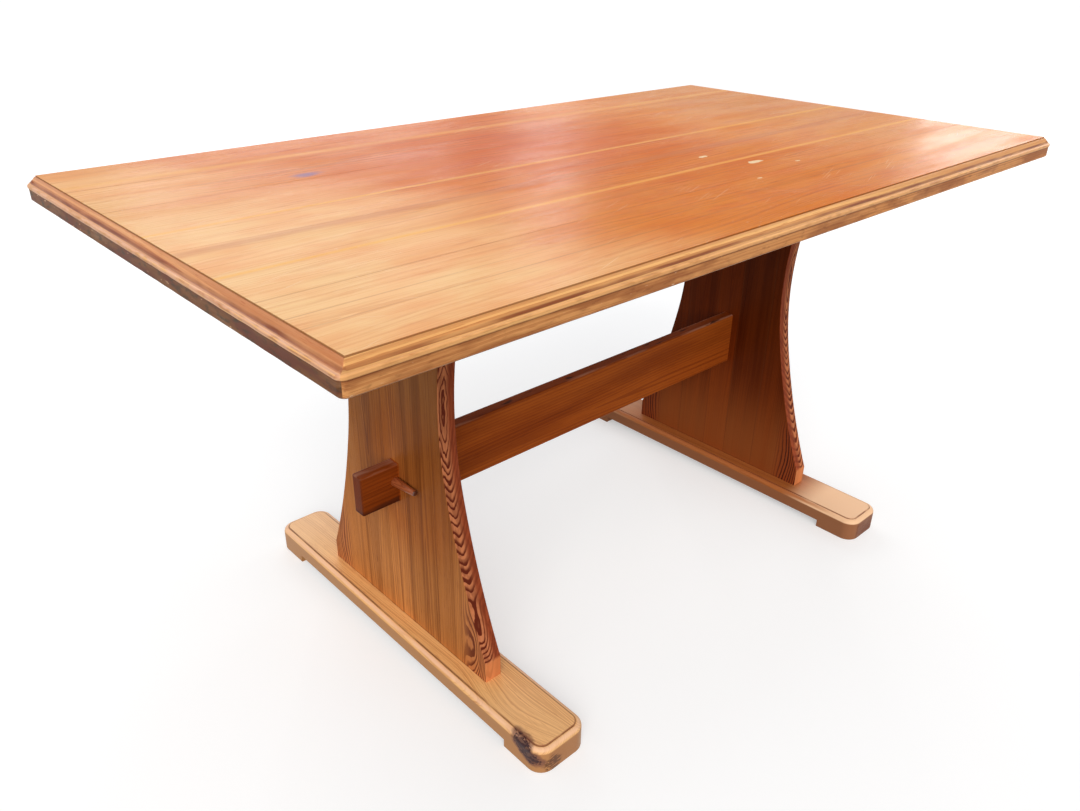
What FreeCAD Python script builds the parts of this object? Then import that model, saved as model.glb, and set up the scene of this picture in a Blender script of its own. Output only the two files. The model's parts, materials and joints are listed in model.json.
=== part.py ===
import FreeCAD, Part
import math
import os
import Sketcher

# A trestle dining table in pine. The top is a panel of edge-glued boards inside four mitred
# mouldings. It is screwed to a bearer on each of two waisted slabs, which are glued up from
# staves and stand in long feet. A stretcher rail joins the slabs: its tenons pass through
# them and are held by a round peg outside each slab.
#
# X runs along the length, Y across the width and Z up. The origin is on the floor under the
# middle of the top. Every length is in millimetres and every angle in degrees.

doc = FreeCAD.newDocument("TrestleTable")
sizes = doc.addObject("Spreadsheet::Sheet", "Sizes")
worked = doc.addObject("Spreadsheet::Sheet", "Worked")
sheets = {"Sizes": sizes, "Worked": worked}
rows = {"Sizes": 0, "Worked": 0}


def write_row(sheet, alias, content, note):
    rows[sheet.Name] += 1
    number = str(rows[sheet.Name])
    sheet.set("A" + number, note)
    sheet.set("B" + number, content)
    sheet.setAlias("B" + number, alias)


def derived(alias, formula, note):
    """A size that follows from others: a formula in the Worked sheet."""
    write_row(worked, alias, "=" + formula, note)
    doc.recompute()


# The sizes that are chosen, each with what it is.
SIZES = [
    # The table over all.
    ("top_length", 1500, "length over the end mouldings"),
    ("top_width", 850, "width over the side mouldings"),
    ("table_height", 750, "floor to the top's surface"),
    ("top_thickness", 32, "boards and lower band of the mouldings"),

    # The joints between the boards of the top, from the centre line, front to back.
    ("joint_1", -250, "joint between boards 1 and 2"),
    ("joint_2", -165, "joint between boards 2 and 3"),
    ("joint_3", 20, "joint between boards 3 and 4"),
    ("joint_4", 148, "joint between boards 4 and 5"),
    ("joint_5", 278, "joint between boards 5 and 6"),

    # The moulding round the top, from its upper edge down: quirk, ogee, nose and plain band.
    ("moulding_width", 16.5, "how far the nose stands out from the boards"),
    ("quirk_step", 1.6, "drop from the boards to the moulding"),
    ("ogee_radius", 6.6, "radius of each half of the ogee"),
    ("ogee_angle", 65, "turn of each half of the ogee"),
    ("nose_radius", 1.5, "radius of the round nose"),
    ("band_setback", 3.7, "how far the plain band lies behind the nose"),
    ("band_chamfer", 1.5, "chamfer under the band"),

    # The two slabs.
    ("trestle_spacing", 840, "between the middles of the two slabs"),
    ("slab_thickness", 30, "thickness of the staves"),
    ("base_width", 428, "slab width at the foot"),
    ("toe_height", 35, "upright part of the slab's edge above the foot"),
    ("waist_width", 238, "slab width at its narrowest"),
    ("waist_height", 465, "height of the waist above the floor"),
    ("waist_radius", 620, "radius of the edge near the waist"),
    ("waist_drop", 130, "how far below the waist that radius ends"),
    ("inner_joint", 28, "joint beside the middle stave, from the centre line"),
    ("outer_joint", 100, "joint beside the outer stave, from the centre line"),
    ("tongue_thickness", 14, "stub tongue at the slab's two ends"),
    ("tongue_width", 180, "width of that tongue"),
    ("foot_tongue", 24, "depth of the tongue in the foot"),
    ("bearer_tongue", 16, "depth of the tongue in the bearer"),
    ("tongue_room", 1, "glue room beyond a tongue's end"),

    # The feet.
    ("foot_length", 745, "length across the table"),
    ("foot_width", 97, "width of the foot board"),
    ("foot_height", 45, "height of the foot board"),
    ("foot_corner", 25, "corner radius in plan"),
    ("bead_radius", 9, "bead round the top edge"),
    ("bead_quirk", 1.2, "drop from the top face to the bead"),
    ("pad_length", 78, "length of each end pad"),
    ("relief_depth", 15, "how far the underside is cut away between the pads"),

    # The bearers under the top and their screws.
    ("bearer_setback", 55, "from the top's side to the bearer's end"),
    ("bearer_width", 70, "width along the table"),
    ("bearer_height", 30, "depth below the top"),
    ("bearer_slope_length", 50, "length of the slope under each end"),
    ("bearer_slope_rise", 12, "rise of that slope"),
    ("screw_offset", 25, "from the slab's middle to the line of screws"),
    ("screw_length", 38, "under the head"),
    ("screw_diameter", 5, "shank"),
    ("screw_point", 6, "length of the point"),
    ("head_diameter", 9.5, "round head"),
    ("head_height", 3.4, "height of the round head"),
    ("slot_width", 1.2, "slot in the head"),
    ("slot_depth", 1.4, "depth of that slot"),
    ("screw_clearance", 0.1, "radial room round the shank"),
    ("screw_room", 1, "room beyond the point"),
    ("recess_diameter", 12, "recess for the head"),
    ("recess_depth", 10, "depth of that recess"),

    # The stretcher and its pegs.
    ("rail_thickness", 23, "thickness of the rail and tenons"),
    ("rail_bottom", 263, "floor to the rail's underside"),
    ("rail_depth", 106, "rail from its underside to its top"),
    ("lower_shoulder", 14, "step from the rail's underside up to the tenon"),
    ("tenon_depth", 68, "tenon from its underside to its top"),
    ("tenon_projection", 68, "how far a tenon stands out of its slab"),
    ("rail_arris", 3, "rounding of the long edges"),
    ("tenon_arris", 2.5, "rounding of a tenon's end"),
    ("mortise_clearance", 0.2, "room round a tenon in its mortise"),
    ("peg_diameter", 15, "round peg"),
    ("peg_length", 91, "length of the peg"),
    ("peg_outside", 53, "how far the peg stands out of the tenon's front face"),
    ("peg_rise", 4, "how steeply the peg rises towards the front"),
    ("peg_lift", 4, "how far the peg's axis lies above the tenon's middle line"),
    ("peg_clearance", 0.05, "radial room round the peg in its hole"),
    ("peg_gap", 0.3, "room between the peg and the slab"),
    ("peg_rounding", 1.5, "rounding of the peg's ends"),
]
for alias, number, note in SIZES:
    write_row(sizes, alias, str(number), note)
doc.recompute()

# Where the top's boards end, and the heights that pieces meet at.
derived("field_half_length", "Sizes.top_length / 2 - Sizes.moulding_width", "centre to board ends")
derived("field_half_width", "Sizes.top_width / 2 - Sizes.moulding_width", "centre to outer boards")
derived("top_underside", "Sizes.table_height - Sizes.top_thickness", "height of the underside")
derived("bearer_underside", "top_underside - Sizes.bearer_height", "height of the slab's top")
derived("slab_height", "bearer_underside - Sizes.foot_height", "slab between foot and bearer")
derived("trestle_offset", "Sizes.trestle_spacing / 2", "centre to the middle of a slab")
derived("slab_outer", "trestle_offset + Sizes.slab_thickness / 2", "centre to its outer face")
derived("slab_inner", "trestle_offset - Sizes.slab_thickness / 2", "centre to its inner face")

# The moulding's outline, as distances out from the boards and up from the underside.
derived("ogee_top", "Sizes.top_thickness - Sizes.quirk_step", "level of the ogee's start")
derived("ogee_reach", "Sizes.ogee_radius * sin(Sizes.ogee_angle)", "reach of half the ogee")
derived("ogee_drop", "Sizes.ogee_radius * (1 - cos(Sizes.ogee_angle))", "drop of half of it")
derived("ogee_middle", "ogee_top - ogee_drop", "level of the ogee's middle")
derived("ogee_end_reach", "2 * ogee_reach", "reach of the ogee's end")
derived("ogee_end", "ogee_top - 2 * ogee_drop", "level of the ogee's end")
derived("nose_start", "Sizes.moulding_width - Sizes.nose_radius", "reach of the nose's centre")
derived("nose_middle", "ogee_end - Sizes.nose_radius", "level of the nose's tip")
derived("nose_end", "ogee_end - 2 * Sizes.nose_radius", "level of the nose's underside")
derived("band_face", "Sizes.moulding_width - Sizes.band_setback", "reach of the plain band")
derived("band_foot", "band_face - Sizes.band_chamfer", "reach of the chamfer's lower edge")

# The slab's outline, as distances from its centre line and up from the foot. The edge is two
# arcs that meet without a kink: one about the waist, and a flatter one down to the toe.
derived("base_half", "Sizes.base_width / 2", "half width at the foot")
derived("waist_half", "Sizes.waist_width / 2", "half width at the waist")
derived("waist_level", "Sizes.waist_height - Sizes.foot_height", "level of the waist")
derived("arc_centre", "waist_half + Sizes.waist_radius", "reach of the waist arc's centre")
derived("junction_level", "waist_level - Sizes.waist_drop", "level where the arcs meet")
derived(
    "junction_half",
    "arc_centre - sqrt(Sizes.waist_radius ^ 2 - Sizes.waist_drop ^ 2)",
    "half width where the arcs meet",
)
derived(
    "crown_half",
    "arc_centre - sqrt(Sizes.waist_radius ^ 2 - (slab_height - waist_level) ^ 2)",
    "half width at the bearer",
)
derived("junction_slope", "asin(Sizes.waist_drop / Sizes.waist_radius)", "lean of the edge there")
derived("flare_out", "base_half - junction_half", "how far the lower arc spreads")
derived("flare_down", "junction_level - Sizes.toe_height", "how far the lower arc drops")
derived(
    "flare_radius",
    "(flare_out ^ 2 + flare_down ^ 2)"
    " / (2 * (flare_out * cos(junction_slope) - flare_down * sin(junction_slope)))",
    "radius of the lower arc",
)
derived("tongue_half", "Sizes.tongue_width / 2", "half width of a tongue")
derived("tongue_side", "Sizes.tongue_thickness / 2", "half thickness of a tongue")
derived("tongue_top", "slab_height + Sizes.bearer_tongue", "level of the upper tongue's end")

# The foot's outline, and its cut-away underside.
derived("foot_half_length", "Sizes.foot_length / 2", "half length")
derived("foot_half_width", "Sizes.foot_width / 2", "half width")
derived("foot_straight_length", "foot_half_length - Sizes.foot_corner", "where a corner starts")
derived("foot_straight_width", "foot_half_width - Sizes.foot_corner", "where a corner starts")
derived("crest_half_length", "foot_half_length - Sizes.bead_radius", "half length of the top face")
derived("crest_half_width", "foot_half_width - Sizes.bead_radius", "half width of the top face")
derived("crest_corner", "Sizes.foot_corner - Sizes.bead_radius", "corner radius of the top face")
derived("bead_level", "Sizes.foot_height - Sizes.bead_quirk", "level of the bead's top")
derived("relief_half", "foot_half_length - Sizes.pad_length", "half length between the pads")
derived("foot_mortise", "Sizes.foot_tongue + Sizes.tongue_room", "depth of the foot's mortise")
derived("foot_mortise_floor", "Sizes.foot_height - foot_mortise", "level of its floor")

# The bearer's outline, up from its underside, and its screws.
derived("bearer_half", "Sizes.top_width / 2 - Sizes.bearer_setback", "half length")
derived("bearer_flat", "bearer_half - Sizes.bearer_slope_length", "where the slope starts")
derived("bearer_mortise", "Sizes.bearer_tongue + Sizes.tongue_room", "depth of its mortise")
derived("screw_place", "trestle_offset - Sizes.screw_offset", "centre to a line of screws")
derived("screw_hole", "Sizes.screw_diameter / 2 + Sizes.screw_clearance", "radius of its hole")
derived("screw_reach", "Sizes.screw_length + Sizes.recess_depth - Sizes.bearer_height", "in the top")
derived("screw_hole_depth", "screw_reach + Sizes.screw_room", "depth of the hole in a board")
derived("recess_radius", "Sizes.recess_diameter / 2", "radius of the head's recess")
derived("shank_radius", "Sizes.screw_diameter / 2", "radius of the shank")
derived("shank_end", "Sizes.screw_length - Sizes.screw_point", "where the point starts")
derived("head_radius", "Sizes.head_diameter / 2", "radius of the head")
derived("dome_radius", "(head_radius ^ 2 + Sizes.head_height ^ 2) / (2 * Sizes.head_height)", "dome")
derived("slot_half", "Sizes.slot_width / 2", "half width of the slot")
derived("slot_floor", "Sizes.head_height - Sizes.slot_depth", "slot's floor below the head's base")

# The stretcher's outline in the upright plane, its mortises and its peg holes.
derived("rail_half", "Sizes.rail_thickness / 2", "half thickness of the rail")
derived("rail_top", "Sizes.rail_bottom + Sizes.rail_depth", "height of the rail's top")
derived("tenon_bottom", "Sizes.rail_bottom + Sizes.lower_shoulder", "height of its underside")
derived("tenon_top", "tenon_bottom + Sizes.tenon_depth", "height of a tenon's top")
derived("tenon_end", "slab_outer + Sizes.tenon_projection", "centre to a tenon's end")
derived("mortise_half", "rail_half + Sizes.mortise_clearance", "half width of a mortise")
derived("mortise_bottom", "tenon_bottom - Sizes.mortise_clearance - Sizes.foot_height", "on the slab")
derived("mortise_top", "tenon_top + Sizes.mortise_clearance - Sizes.foot_height", "on the slab")
derived("peg_radius", "Sizes.peg_diameter / 2", "radius of a peg")
derived("peg_hole", "peg_radius + Sizes.peg_clearance", "radius of a peg hole")
derived("peg_offset", "slab_outer + Sizes.peg_gap + peg_radius", "centre to a peg's axis")
derived("peg_sunk", "rail_half / cos(Sizes.peg_rise)", "length of peg in half the tenon")
derived("peg_inside", "Sizes.peg_length - Sizes.peg_outside - peg_sunk", "peg behind the middle")
derived("peg_level", "(tenon_bottom + tenon_top) / 2 + Sizes.peg_lift", "its height at the middle")


def value(cell):
    """The number in a cell, whose name may have a minus sign before it."""
    if cell == "0":
        return 0.0
    sheet, alias = cell.lstrip("-").split(".")
    number = float(sheets[sheet].get(alias))
    return -number if cell.startswith("-") else number


def new_body(label):
    body = doc.addObject("PartDesign::Body", label)
    body.Label = label
    return body


def new_sketch(body, plane, name):
    """A sketch on one of the body's own origin planes: XY_Plane, XZ_Plane or YZ_Plane."""
    sketch = body.newObject("Sketcher::SketchObject", body.Name + "_" + name)
    origin_plane = [f for f in body.Origin.OriginFeatures if f.Role == plane][0]
    sketch.AttachmentSupport = [(origin_plane, "")]
    sketch.MapMode = "FlatFace"
    return sketch


def tie(sketch, kind, edge, vertex, cell, name):
    """Hold a vertex at a cell's distance from the sketch's origin, along one axis."""
    if cell == "0":
        axis = -2 if kind == "DistanceX" else -1
        sketch.addConstraint(Sketcher.Constraint("PointOnObject", edge, vertex, axis))
        return
    index = sketch.addConstraint(Sketcher.Constraint(kind, -1, 1, edge, vertex, value(cell)))
    sketch.renameConstraint(index, name)
    sketch.setExpression("Constraints." + name, cell)


def tie_radius(sketch, edge, cell, name):
    index = sketch.addConstraint(Sketcher.Constraint("Radius", edge, value(cell)))
    sketch.renameConstraint(index, name)
    sketch.setExpression("Constraints." + name, cell)


def arc_between(start, end, radius, side):
    """The minor arc from start to end; side is +1 if it turns to the left, -1 to the right."""
    chord = end - start
    half = chord.Length / 2
    left = FreeCAD.Vector(-chord.y, chord.x, 0).normalize()
    centre = start + chord * 0.5 + left * side * math.sqrt(max(radius ** 2 - half ** 2, 0))
    first = math.atan2(start.y - centre.y, start.x - centre.x)
    last = math.atan2(end.y - centre.y, end.x - centre.x)
    if side < 0:
        first, last = last, first
    return Part.ArcOfCircle(Part.Circle(centre, Z_AXIS, radius), first, last)


def draw_outline(sketch, corners):
    """Draw a closed outline through corners, each tied to the sheets.

    A corner is (x cell, y cell), for a straight edge to it from the one before, or
    (x cell, y cell, radius cell, side) for an arc to it.
    """
    points = [FreeCAD.Vector(value(corner[0]), value(corner[1]), 0) for corner in corners]
    ends = []
    for i, corner in enumerate(corners):
        if len(corner) == 2:
            edge = sketch.addGeometry(Part.LineSegment(points[i - 1], points[i]))
            ends.append((edge, 1, 2))
        else:
            radius, side = corner[2:]
            arc = arc_between(points[i - 1], points[i], value(radius), side)
            edge = sketch.addGeometry(arc)
            ends.append((edge, 1, 2) if side > 0 else (edge, 2, 1))
            tie_radius(sketch, edge, radius, "radius_%d" % i)
    for i, corner in enumerate(corners):
        edge, _, last = ends[i]
        following, first, _ = ends[(i + 1) % len(corners)]
        sketch.addConstraint(Sketcher.Constraint("Coincident", edge, last, following, first))
        tie(sketch, "DistanceX", edge, last, corner[0], "x_%d" % i)
        tie(sketch, "DistanceY", edge, last, corner[1], "y_%d" % i)


def draw_circle(sketch, x_cell, y_cell, radius_cell, name):
    centre = FreeCAD.Vector(value(x_cell), value(y_cell), 0)
    edge = sketch.addGeometry(Part.Circle(centre, Z_AXIS, value(radius_cell)))
    tie(sketch, "DistanceX", edge, 3, x_cell, name + "_x")
    tie(sketch, "DistanceY", edge, 3, y_cell, name + "_y")
    tie_radius(sketch, edge, radius_cell, name + "_radius")


def rectangle(low_x, high_x, low_y, high_y):
    return [(low_x, low_y), (high_x, low_y), (high_x, high_y), (low_x, high_y)]


def rounded_rectangle(half_x, half_y, straight_x, straight_y, radius):
    """Corners of a rectangle about the origin with rounded corners, anticlockwise."""
    return [
        (straight_x, "-" + half_y),
        (half_x, "-" + straight_y, radius, 1),
        (half_x, straight_y),
        (straight_x, half_y, radius, 1),
        ("-" + straight_x, half_y),
        ("-" + half_x, straight_y, radius, 1),
        ("-" + half_x, "-" + straight_y),
        ("-" + straight_x, "-" + half_y, radius, 1),
    ]


def pad(body, sketch, length, name, symmetric=False):
    feature = body.newObject("PartDesign::Pad", body.Name + "_" + name)
    feature.Profile = sketch
    feature.SideType = "Symmetric" if symmetric else "One side"
    feature.setExpression("Length", length)
    return feature


def pocket_through(body, sketch, name):
    """Cut the sketch right through the body, both ways."""
    feature = body.newObject("PartDesign::Pocket", body.Name + "_" + name)
    feature.Profile = sketch
    feature.Type = "ThroughAll"
    feature.SideType = "Symmetric"


def pocket_up(body, sketch, depth, name):
    """Cut the sketch upwards from its own level."""
    feature = body.newObject("PartDesign::Pocket", body.Name + "_" + name)
    feature.Profile = sketch
    feature.Reversed = True
    feature.setExpression("Length", depth)


def round_edges(body, feature, radius, name, wanted):
    """Round the edges of a body's last feature for which wanted(box of the edge) is true."""
    doc.recompute()
    edges = feature.Shape.Edges
    chosen = ["Edge%d" % n for n, edge in enumerate(edges, 1) if wanted(edge.BoundBox)]
    fillet = body.newObject("PartDesign::Fillet", body.Name + "_" + name)
    fillet.Base = (feature, chosen)
    fillet.setExpression("Radius", radius)
    return fillet


def place(item, x="0", y="0", z="0"):
    """Bind an object's place to the sheets."""
    for axis, formula in (("x", x), ("y", y), ("z", z)):
        if formula != "0":
            item.setExpression("Placement.Base." + axis, formula)


X_AXIS = FreeCAD.Vector(1, 0, 0)
Z_AXIS = FreeCAD.Vector(0, 0, 1)
SIDES = (("left", "-"), ("right", ""))
BEARER_SIDES = (("left", "-", ""), ("right", "", "-"))
kept = []

# The top's boards. Each lies between two joints and has a screw hole over each bearer,
# on its own middle line.
joints = ["Sizes.joint_%d" % number for number in range(1, 6)]
board_edges = ["-Worked.field_half_width"] + joints + ["Worked.field_half_width"]
board_middles = []
for number, (front_edge, back_edge) in enumerate(zip(board_edges, board_edges[1:]), 1):
    derived("board_%d_half" % number, "(%s - (%s)) / 2" % (back_edge, front_edge), "half width")
    derived("board_%d_middle" % number, "(%s + (%s)) / 2" % (back_edge, front_edge), "middle line")
    half_length = "Worked.field_half_length"
    half_width = "Worked.board_%d_half" % number
    board_middles.append("Worked.board_%d_middle" % number)
    board = new_body("top_board_%d" % number)
    outline = new_sketch(board, "XY_Plane", "outline")
    draw_outline(outline, rectangle("-" + half_length, half_length, "-" + half_width, half_width))
    pad(board, outline, "Sizes.top_thickness", "plank")
    holes = new_sketch(board, "XY_Plane", "holes")
    for side, sign in SIDES:
        draw_circle(holes, sign + "Worked.screw_place", "0", "Worked.screw_hole", side)
    pocket_up(board, holes, "Worked.screw_hole_depth", "screw_holes")
    place(board, y=board_middles[-1], z="Worked.top_underside")
    kept.append(board)

# The moulding round the top. Its outline lies in the upright plane across the strip, with
# the inner face at zero, and the ends are mitred on a line at 45 degrees from the corner of
# the boards. Each strip is drawn along X and then turned to its side of the top.
moulding_outline = [
    ("0", "0"),
    ("Worked.band_foot", "0"),
    ("Worked.band_face", "Sizes.band_chamfer"),
    ("Worked.band_face", "Worked.nose_end"),
    ("Worked.nose_start", "Worked.nose_end"),
    ("Sizes.moulding_width", "Worked.nose_middle", "Sizes.nose_radius", 1),
    ("Worked.nose_start", "Worked.ogee_end", "Sizes.nose_radius", 1),
    ("Worked.ogee_end_reach", "Worked.ogee_end"),
    ("Worked.ogee_reach", "Worked.ogee_middle", "Sizes.ogee_radius", -1),
    ("0", "Worked.ogee_top", "Sizes.ogee_radius", 1),
]
long_strip = ("Worked.field_half_length", "Sizes.top_length")
short_strip = ("Worked.field_half_width", "Sizes.top_width")
strips = (
    ("front", 180, long_strip, "0", "-Worked.field_half_width"),
    ("back", 0, long_strip, "0", "Worked.field_half_width"),
    ("left", 90, short_strip, "-Worked.field_half_length", "0"),
    ("right", -90, short_strip, "Worked.field_half_length", "0"),
)
for name, angle, (inner_half, outer_length), x_place, y_place in strips:
    derived(name + "_strip_half", outer_length + " / 2", "centre to the strip's end")
    outer_half = "Worked.%s_strip_half" % name
    strip = new_body(name + "_lipping")
    section = new_sketch(strip, "YZ_Plane", "section")
    draw_outline(section, moulding_outline)
    pad(strip, section, outer_length, "moulding", symmetric=True)
    for end, sign in SIDES:
        waste = new_sketch(strip, "XY_Plane", end + "_waste")
        draw_outline(waste, [
            (sign + inner_half, "0"),
            (sign + outer_half, "0"),
            (sign + outer_half, "Sizes.moulding_width"),
        ])
        pocket_through(strip, waste, end + "_mitre")
    strip.Placement = FreeCAD.Placement(FreeCAD.Vector(), FreeCAD.Rotation(Z_AXIS, angle))
    place(strip, x=x_place, y=y_place, z="Worked.top_underside")
    kept.append(strip)

# The slab that both trestles are cut from, about its own middle with its lower end at zero.
# The waisted outline is padded to the full thickness, a thinner pad adds the stub tongues
# at the two ends, and the mortise for the stretcher's tenon goes right through.
slab = new_body("slab_blank")
slab_outline = new_sketch(slab, "YZ_Plane", "outline")
draw_outline(slab_outline, [
    ("-Worked.base_half", "0"),
    ("Worked.base_half", "0"),
    ("Worked.base_half", "Sizes.toe_height"),
    ("Worked.junction_half", "Worked.junction_level", "Worked.flare_radius", -1),
    ("Worked.crown_half", "Worked.slab_height", "Sizes.waist_radius", -1),
    ("-Worked.crown_half", "Worked.slab_height"),
    ("-Worked.junction_half", "Worked.junction_level", "Sizes.waist_radius", -1),
    ("-Worked.base_half", "Sizes.toe_height", "Worked.flare_radius", -1),
])
pad(slab, slab_outline, "Sizes.slab_thickness", "panel", symmetric=True)
tongues = new_sketch(slab, "YZ_Plane", "tongues")
draw_outline(tongues, rectangle(
    "-Worked.tongue_half", "Worked.tongue_half", "-Sizes.foot_tongue", "Worked.tongue_top",
))
pad(slab, tongues, "Sizes.tongue_thickness", "tongue", symmetric=True)
mortise = new_sketch(slab, "YZ_Plane", "mortise")
draw_outline(mortise, rectangle(
    "-Worked.mortise_half", "Worked.mortise_half", "Worked.mortise_bottom", "Worked.mortise_top",
))
pocket_through(slab, mortise, "through_mortise")

# Five staves make up each slab. A box as long as the slab stands for each stave before the
# slab is cut out, and the stave is what the box and the slab share.
stave_edges = [
    "-Worked.base_half",
    "-Sizes.outer_joint",
    "-Sizes.inner_joint",
    "Sizes.inner_joint",
    "Sizes.outer_joint",
    "Worked.base_half",
]
for number, (front_edge, back_edge) in enumerate(zip(stave_edges, stave_edges[1:]), 1):
    sawn = doc.addObject("Part::Box", "sawn_stave_%d" % number)
    sawn.setExpression("Length", "Sizes.slab_thickness")
    sawn.setExpression("Width", "%s - (%s)" % (back_edge, front_edge))
    sawn.setExpression("Height", "Worked.tongue_top + Sizes.foot_tongue")
    place(sawn, x="-Sizes.slab_thickness / 2", y=front_edge, z="-Sizes.foot_tongue")
    for side, sign in SIDES:
        stave = doc.addObject("Part::Common", "%s_stave_%d" % (side, number))
        stave.Label = stave.Name
        stave.Base = slab
        stave.Tool = sawn
        place(stave, x=sign + "Worked.trestle_offset", z="Sizes.foot_height")
        kept.append(stave)

# The feet. The board has its bead rounded first, and the top face stands on it as a low
# crest, which leaves the quirk. A mortise takes the slab's tongue, and the underside is
# cut away between the end pads.
for side, sign in SIDES:
    foot = new_body(side + "_foot")
    outline = new_sketch(foot, "XY_Plane", "outline")
    draw_outline(outline, rounded_rectangle(
        "Worked.foot_half_width",
        "Worked.foot_half_length",
        "Worked.foot_straight_width",
        "Worked.foot_straight_length",
        "Sizes.foot_corner",
    ))
    plank = pad(foot, outline, "Worked.bead_level", "plank")
    half_height = value("Worked.bead_level") / 2
    round_edges(foot, plank, "Sizes.bead_radius", "bead", lambda box: box.ZMin > half_height)
    crest = new_sketch(foot, "XY_Plane", "crest")
    draw_outline(crest, rounded_rectangle(
        "Worked.crest_half_width",
        "Worked.crest_half_length",
        "Worked.foot_straight_width",
        "Worked.foot_straight_length",
        "Worked.crest_corner",
    ))
    pad(foot, crest, "Sizes.foot_height", "top_face")
    mortise = new_sketch(foot, "XY_Plane", "mortise")
    draw_outline(mortise, rectangle(
        "-Worked.tongue_side", "Worked.tongue_side", "-Worked.tongue_half", "Worked.tongue_half",
    ))
    mortise.setExpression("AttachmentOffset.Base.z", "Worked.foot_mortise_floor")
    pocket_up(foot, mortise, "Worked.foot_mortise", "tongue_mortise")
    relief = new_sketch(foot, "YZ_Plane", "relief")
    draw_outline(relief, rectangle(
        "-Worked.relief_half", "Worked.relief_half", "0", "Sizes.relief_depth",
    ))
    pocket_through(foot, relief, "underside_relief")
    place(foot, x=sign + "Worked.trestle_offset")
    kept.append(foot)

# The bearers lie across the slabs under the top. The underside slopes up towards each end,
# a mortise takes the slab's upper tongue, and each screw's head sits in a recess.
for side, sign, inwards in BEARER_SIDES:
    bearer = new_body(side + "_bearer")
    outline = new_sketch(bearer, "YZ_Plane", "outline")
    draw_outline(outline, [
        ("-Worked.bearer_flat", "0"),
        ("Worked.bearer_flat", "0"),
        ("Worked.bearer_half", "Sizes.bearer_slope_rise"),
        ("Worked.bearer_half", "Sizes.bearer_height"),
        ("-Worked.bearer_half", "Sizes.bearer_height"),
        ("-Worked.bearer_half", "Sizes.bearer_slope_rise"),
    ])
    pad(bearer, outline, "Sizes.bearer_width", "batten", symmetric=True)
    mortise = new_sketch(bearer, "XY_Plane", "mortise")
    draw_outline(mortise, rectangle(
        "-Worked.tongue_side", "Worked.tongue_side", "-Worked.tongue_half", "Worked.tongue_half",
    ))
    pocket_up(bearer, mortise, "Worked.bearer_mortise", "tongue_mortise")
    holes = new_sketch(bearer, "XY_Plane", "holes")
    recesses = new_sketch(bearer, "XY_Plane", "recesses")
    screw_line = inwards + "Sizes.screw_offset"
    for number, middle in enumerate(board_middles, 1):
        draw_circle(holes, screw_line, middle, "Worked.screw_hole", "hole_%d" % number)
        draw_circle(recesses, screw_line, middle, "Worked.recess_radius", "recess_%d" % number)
    pocket_through(bearer, holes, "screw_holes")
    pocket_up(bearer, recesses, "Sizes.recess_depth", "head_recesses")
    place(bearer, x=sign + "Worked.trestle_offset", z="Worked.bearer_underside")
    kept.append(bearer)

# A round-head wood screw standing on its head, and a group of them for each bearer: one
# under the middle line of every board.
screw = new_body("screw_pattern")
section = new_sketch(screw, "XZ_Plane", "section")
draw_outline(section, [
    ("0", "-Sizes.head_height"),
    ("Worked.head_radius", "0", "Worked.dome_radius", 1),
    ("Worked.shank_radius", "0"),
    ("Worked.shank_radius", "Worked.shank_end"),
    ("0", "Sizes.screw_length"),
])
turned = screw.newObject("PartDesign::Revolution", "screw_turned")
turned.Profile = section
turned.ReferenceAxis = (section, ["V_Axis"])
turned.Angle = 360
slot = new_sketch(screw, "XZ_Plane", "slot")
draw_outline(slot, rectangle(
    "-Worked.slot_half", "Worked.slot_half", "-Sizes.head_height", "-Worked.slot_floor",
))
pocket_through(screw, slot, "driver_slot")
doc.recompute()
for side, sign, inwards in BEARER_SIDES:
    copies = []
    for middle in board_middles:
        copy = screw.Shape.copy()
        copy.translate(FreeCAD.Vector(value(inwards + "Sizes.screw_offset"), value(middle), 0))
        copies.append(copy)
    screws = doc.addObject("Part::Feature", side + "_bearer_screws")
    screws.Label = screws.Name
    screws.Shape = Part.makeCompound(copies)
    place(
        screws,
        x=sign + "Worked.trestle_offset",
        z="Worked.bearer_underside + Sizes.recess_depth",
    )
    kept.append(screws)

# The stretcher rail with its shouldered tenons, in one piece. The tenons are shallower than
# the rail and just as thick. The hole for each peg rises towards the front of the table.
rail = new_body("stretcher")
outline = new_sketch(rail, "XZ_Plane", "outline")
shoulder, tip = "Worked.slab_inner", "Worked.tenon_end"
bottom, top = "Sizes.rail_bottom", "Worked.rail_top"
tenon_bottom, tenon_top = "Worked.tenon_bottom", "Worked.tenon_top"
draw_outline(outline, [
    ("-" + shoulder, bottom),
    (shoulder, bottom),
    (shoulder, tenon_bottom),
    (tip, tenon_bottom),
    (tip, tenon_top),
    (shoulder, tenon_top),
    (shoulder, top),
    ("-" + shoulder, top),
    ("-" + shoulder, tenon_top),
    ("-" + tip, tenon_top),
    ("-" + tip, tenon_bottom),
    ("-" + shoulder, tenon_bottom),
])
plank = pad(rail, outline, "Sizes.rail_thickness", "plank", symmetric=True)
arrises = round_edges(
    rail, plank, "Sizes.rail_arris", "arrises",
    lambda box: box.XLength > box.YLength + box.ZLength,
)
slab_face = value("Worked.slab_outer")
round_edges(
    rail, arrises, "Sizes.tenon_arris", "tenon_ends",
    lambda box: min(abs(box.XMin), abs(box.XMax)) > slab_face,
)
peg_holes = new_sketch(rail, "XZ_Plane", "peg_holes")
tilt = FreeCAD.Rotation(-X_AXIS, value("Sizes.peg_rise"))
peg_holes.AttachmentOffset = FreeCAD.Placement(FreeCAD.Vector(), tilt)
peg_holes.setExpression("AttachmentOffset.Base.y", "Worked.peg_level")
for side, sign in SIDES:
    draw_circle(peg_holes, sign + "Worked.peg_offset", "0", "Worked.peg_hole", side)
pocket_through(rail, peg_holes, "peg_holes_through")
kept.append(rail)

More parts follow.
